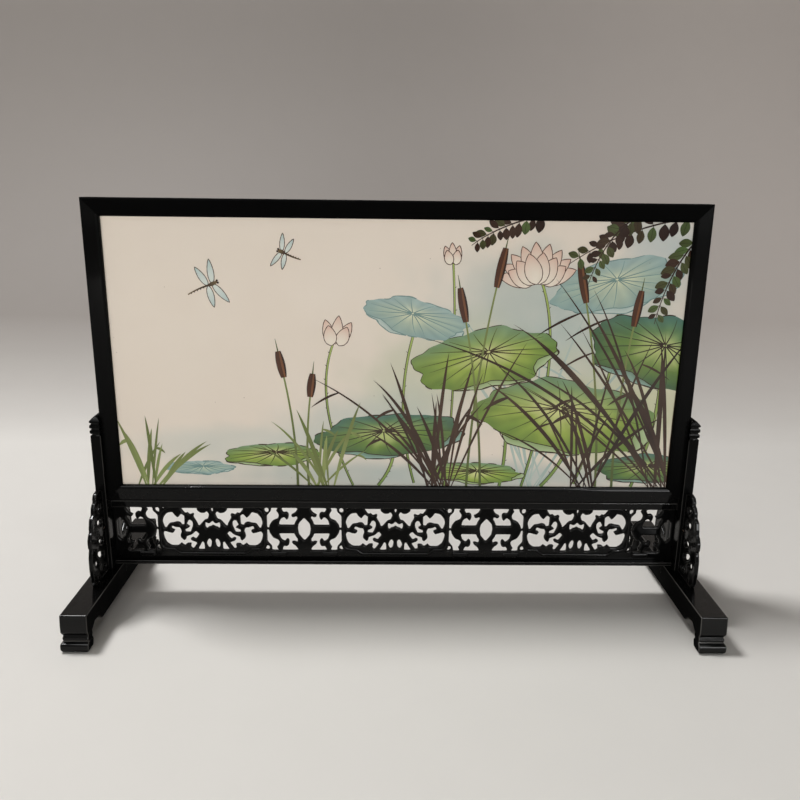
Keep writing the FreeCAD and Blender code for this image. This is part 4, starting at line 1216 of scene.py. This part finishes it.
class TABLESCREEN_OT_stage(Operator):
    """Sets the table top that runs up into a wall, the lights and the camera"""

    bl_idname = "table_screen.stage"
    bl_label = "Stage"

    def execute(self, context):
        context.scene.view_settings.view_transform = "Standard"
        self.sweep(context.scene.table_screen)
        self.lamps(context.scene)
        self.room(context.scene)
        self.camera(context.scene)
        return {"FINISHED"}

    def lamps(self, scene):
        """Square lamps that face their aims."""
        for name, (place, aim, width, power, unseen) in LAMPS.items():
            lamp = bpy.data.lights.new(name, "AREA")
            lamp.size = width
            lamp.energy = getattr(scene.table_screen, power)
            piece = bpy.data.objects.new(name, lamp)
            piece.location = place
            piece.rotation_euler = (Vector(aim) - Vector(place)).to_track_quat("-Z", "Y").to_euler()
            if unseen:
                setattr(piece, unseen, False)
            scene.collection.objects.link(piece)

    def room(self, scene):
        """A pale room, which shows brighter in the gloss than it lights the screen."""
        world = bpy.data.worlds.new("Studio")
        world.use_nodes = True
        tree = world.node_tree
        background = tree.nodes["Background"]
        background.inputs["Color"].default_value = (*linear("C9C7C3"), 1)
        ray = node(tree, "ShaderNodeLightPath")
        strength = node(tree, "ShaderNodeMapRange", {"Value": ray.outputs["Is Glossy Ray"], "To Min": 0.15,
                                                     "To Max": 0.5})
        tree.links.new(strength.outputs["Result"], background.inputs["Strength"])
        scene.world = world

    def camera(self, scene):
        """A camera where the photograph was taken from."""
        pitch, yaw, roll = (math.radians(a) for a in CAMERA_TURN)
        ahead = Vector((math.sin(yaw) * math.cos(pitch), math.cos(yaw) * math.cos(pitch), -math.sin(pitch)))
        right = ahead.cross(Vector((0, 0, 1))).normalized()
        down = ahead.cross(right)
        across = right * math.cos(roll) + down * math.sin(roll)
        below = down * math.cos(roll) - right * math.sin(roll)
        lens = bpy.data.cameras.new("camera")
        lens.sensor_width = SENSOR_WIDTH
        lens.lens = SENSOR_WIDTH * FOCAL_PIXELS / PICTURE_PIXELS
        lens.clip_start = 0.01
        camera = bpy.data.objects.new("camera", lens)
        turn = Matrix((across, -below, -ahead)).transposed().to_4x4()
        camera.matrix_world = Matrix.Translation(CAMERA_PLACE) @ turn
        scene.collection.objects.link(camera)
        scene.camera = camera

    def sweep(self, look):
        """The table top, bent up into the wall behind in one sheet."""
        # In metres: the near edge, where the sheet starts to bend, how tightly, how high and how wide it is.
        near, bend, radius, top, half_width = -6.0, 0.42, 0.6, 5.0, 7.0
        arc = radius * math.pi / 2
        bm = bmesh.new()
        bmesh.ops.create_grid(bm, x_segments=2, y_segments=120, size=0.5)
        whole = (bend - near) + arc + (top - radius)
        for vert in bm.verts:
            run = (vert.co.y + 0.5) * whole + near
            if run <= bend:
                y, z = run, 0.0
            elif run <= bend + arc:
                angle = (run - bend) / radius
                y, z = bend + radius * math.sin(angle), radius * (1 - math.cos(angle))
            else:
                y, z = bend + radius, radius + run - bend - arc
            vert.co = (vert.co.x * 2 * half_width, y, z)
        mesh = mesh_from(bm, "table_top")
        mesh.shade_smooth()
        material, tree, surface = new_material("Matt laminate", Roughness=0.6, Specular_IOR_Level=0.2)
        place = node(tree, "ShaderNodeTexCoord").outputs["Object"]
        spot = node(tree, "ShaderNodeSeparateXYZ", {0: place})
        away = node(tree, "ShaderNodeMapRange", {"Value": spot.outputs["Y"], "From Min": 0.36,
                                                 "From Max": 0.74})
        # Painted light: the wall grows paler towards the right.
        lit_aside = node(tree, "ShaderNodeMapRange", {"Value": spot.outputs["X"], "From Min": -0.1,
                                                  "From Max": 0.85}, interpolation_type="SMOOTHSTEP")
        wall = node(tree, "ShaderNodeMix", {"Factor": lit_aside.outputs["Result"], "A": (*look.wall, 1),
                                            "B": (*look.wall_lit_side, 1)}, data_type="RGBA")
        tint = node(tree, "ShaderNodeMix", {"Factor": away.outputs["Result"], "A": (*look.floor, 1),
                                            "B": wall.outputs["Result"]}, data_type="RGBA")
        # Pressed laminate has an even matt face, with faint scuffs about 40 mm across.
        scuff = node(tree, "ShaderNodeTexNoise", {"Vector": place, "Scale": 1 / (40 * MM), "Detail": 4})
        shade = node(tree, "ShaderNodeMapRange", {"Value": scuff.outputs["Fac"], "To Min": 0.985,
                                                  "To Max": 1.015})
        toned = node(tree, "ShaderNodeMix", {"Factor": 1.0, "A": tint.outputs["Result"],
                                             "B": shade.outputs["Result"]}, data_type="RGBA",
                     blend_type="MULTIPLY")
        tree.links.new(toned.outputs["Result"], surface.inputs["Base Color"])
        mesh.materials.append(material)
        piece = bpy.data.objects.new("table_top", mesh)
        bpy.context.scene.collection.objects.link(piece)


STEPS = (TABLESCREEN_OT_plaque, TABLESCREEN_OT_painting, TABLESCREEN_OT_frame, TABLESCREEN_OT_back,
         TABLESCREEN_OT_posts, TABLESCREEN_OT_feet, TABLESCREEN_OT_brackets, TABLESCREEN_OT_apron,
         TABLESCREEN_OT_stage)


class TABLESCREEN_PT_sidebar(Panel):
    """Sizes, colours and steps of the table screen"""

    bl_idname = "TABLESCREEN_PT_sidebar"
    bl_label = "Table Screen"
    bl_space_type = "VIEW_3D"
    bl_region_type = "UI"
    bl_category = "Table Screen"

    def draw(self, context):
        look = context.scene.table_screen
        for name in ScreenLook.__annotations__:
            self.layout.prop(look, name)
        for step in STEPS:
            self.layout.operator(step.bl_idname)


CLASSES = (ScreenLook, *STEPS, TABLESCREEN_PT_sidebar)


def register():
    """Adds the classes and the settings on the scene."""
    for item in CLASSES:
        bpy.utils.register_class(item)
    bpy.types.Scene.table_screen = PointerProperty(type=ScreenLook)


def unregister():
    """Takes the settings and the classes away again."""
    del bpy.types.Scene.table_screen
    for item in reversed(CLASSES):
        bpy.utils.unregister_class(item)


def main():
    """Builds the dressed screen step by step."""
    register()
    for step in STEPS:
        getattr(bpy.ops.table_screen, step.bl_idname.split(".")[1])()


if __name__ == "__main__":
    main()
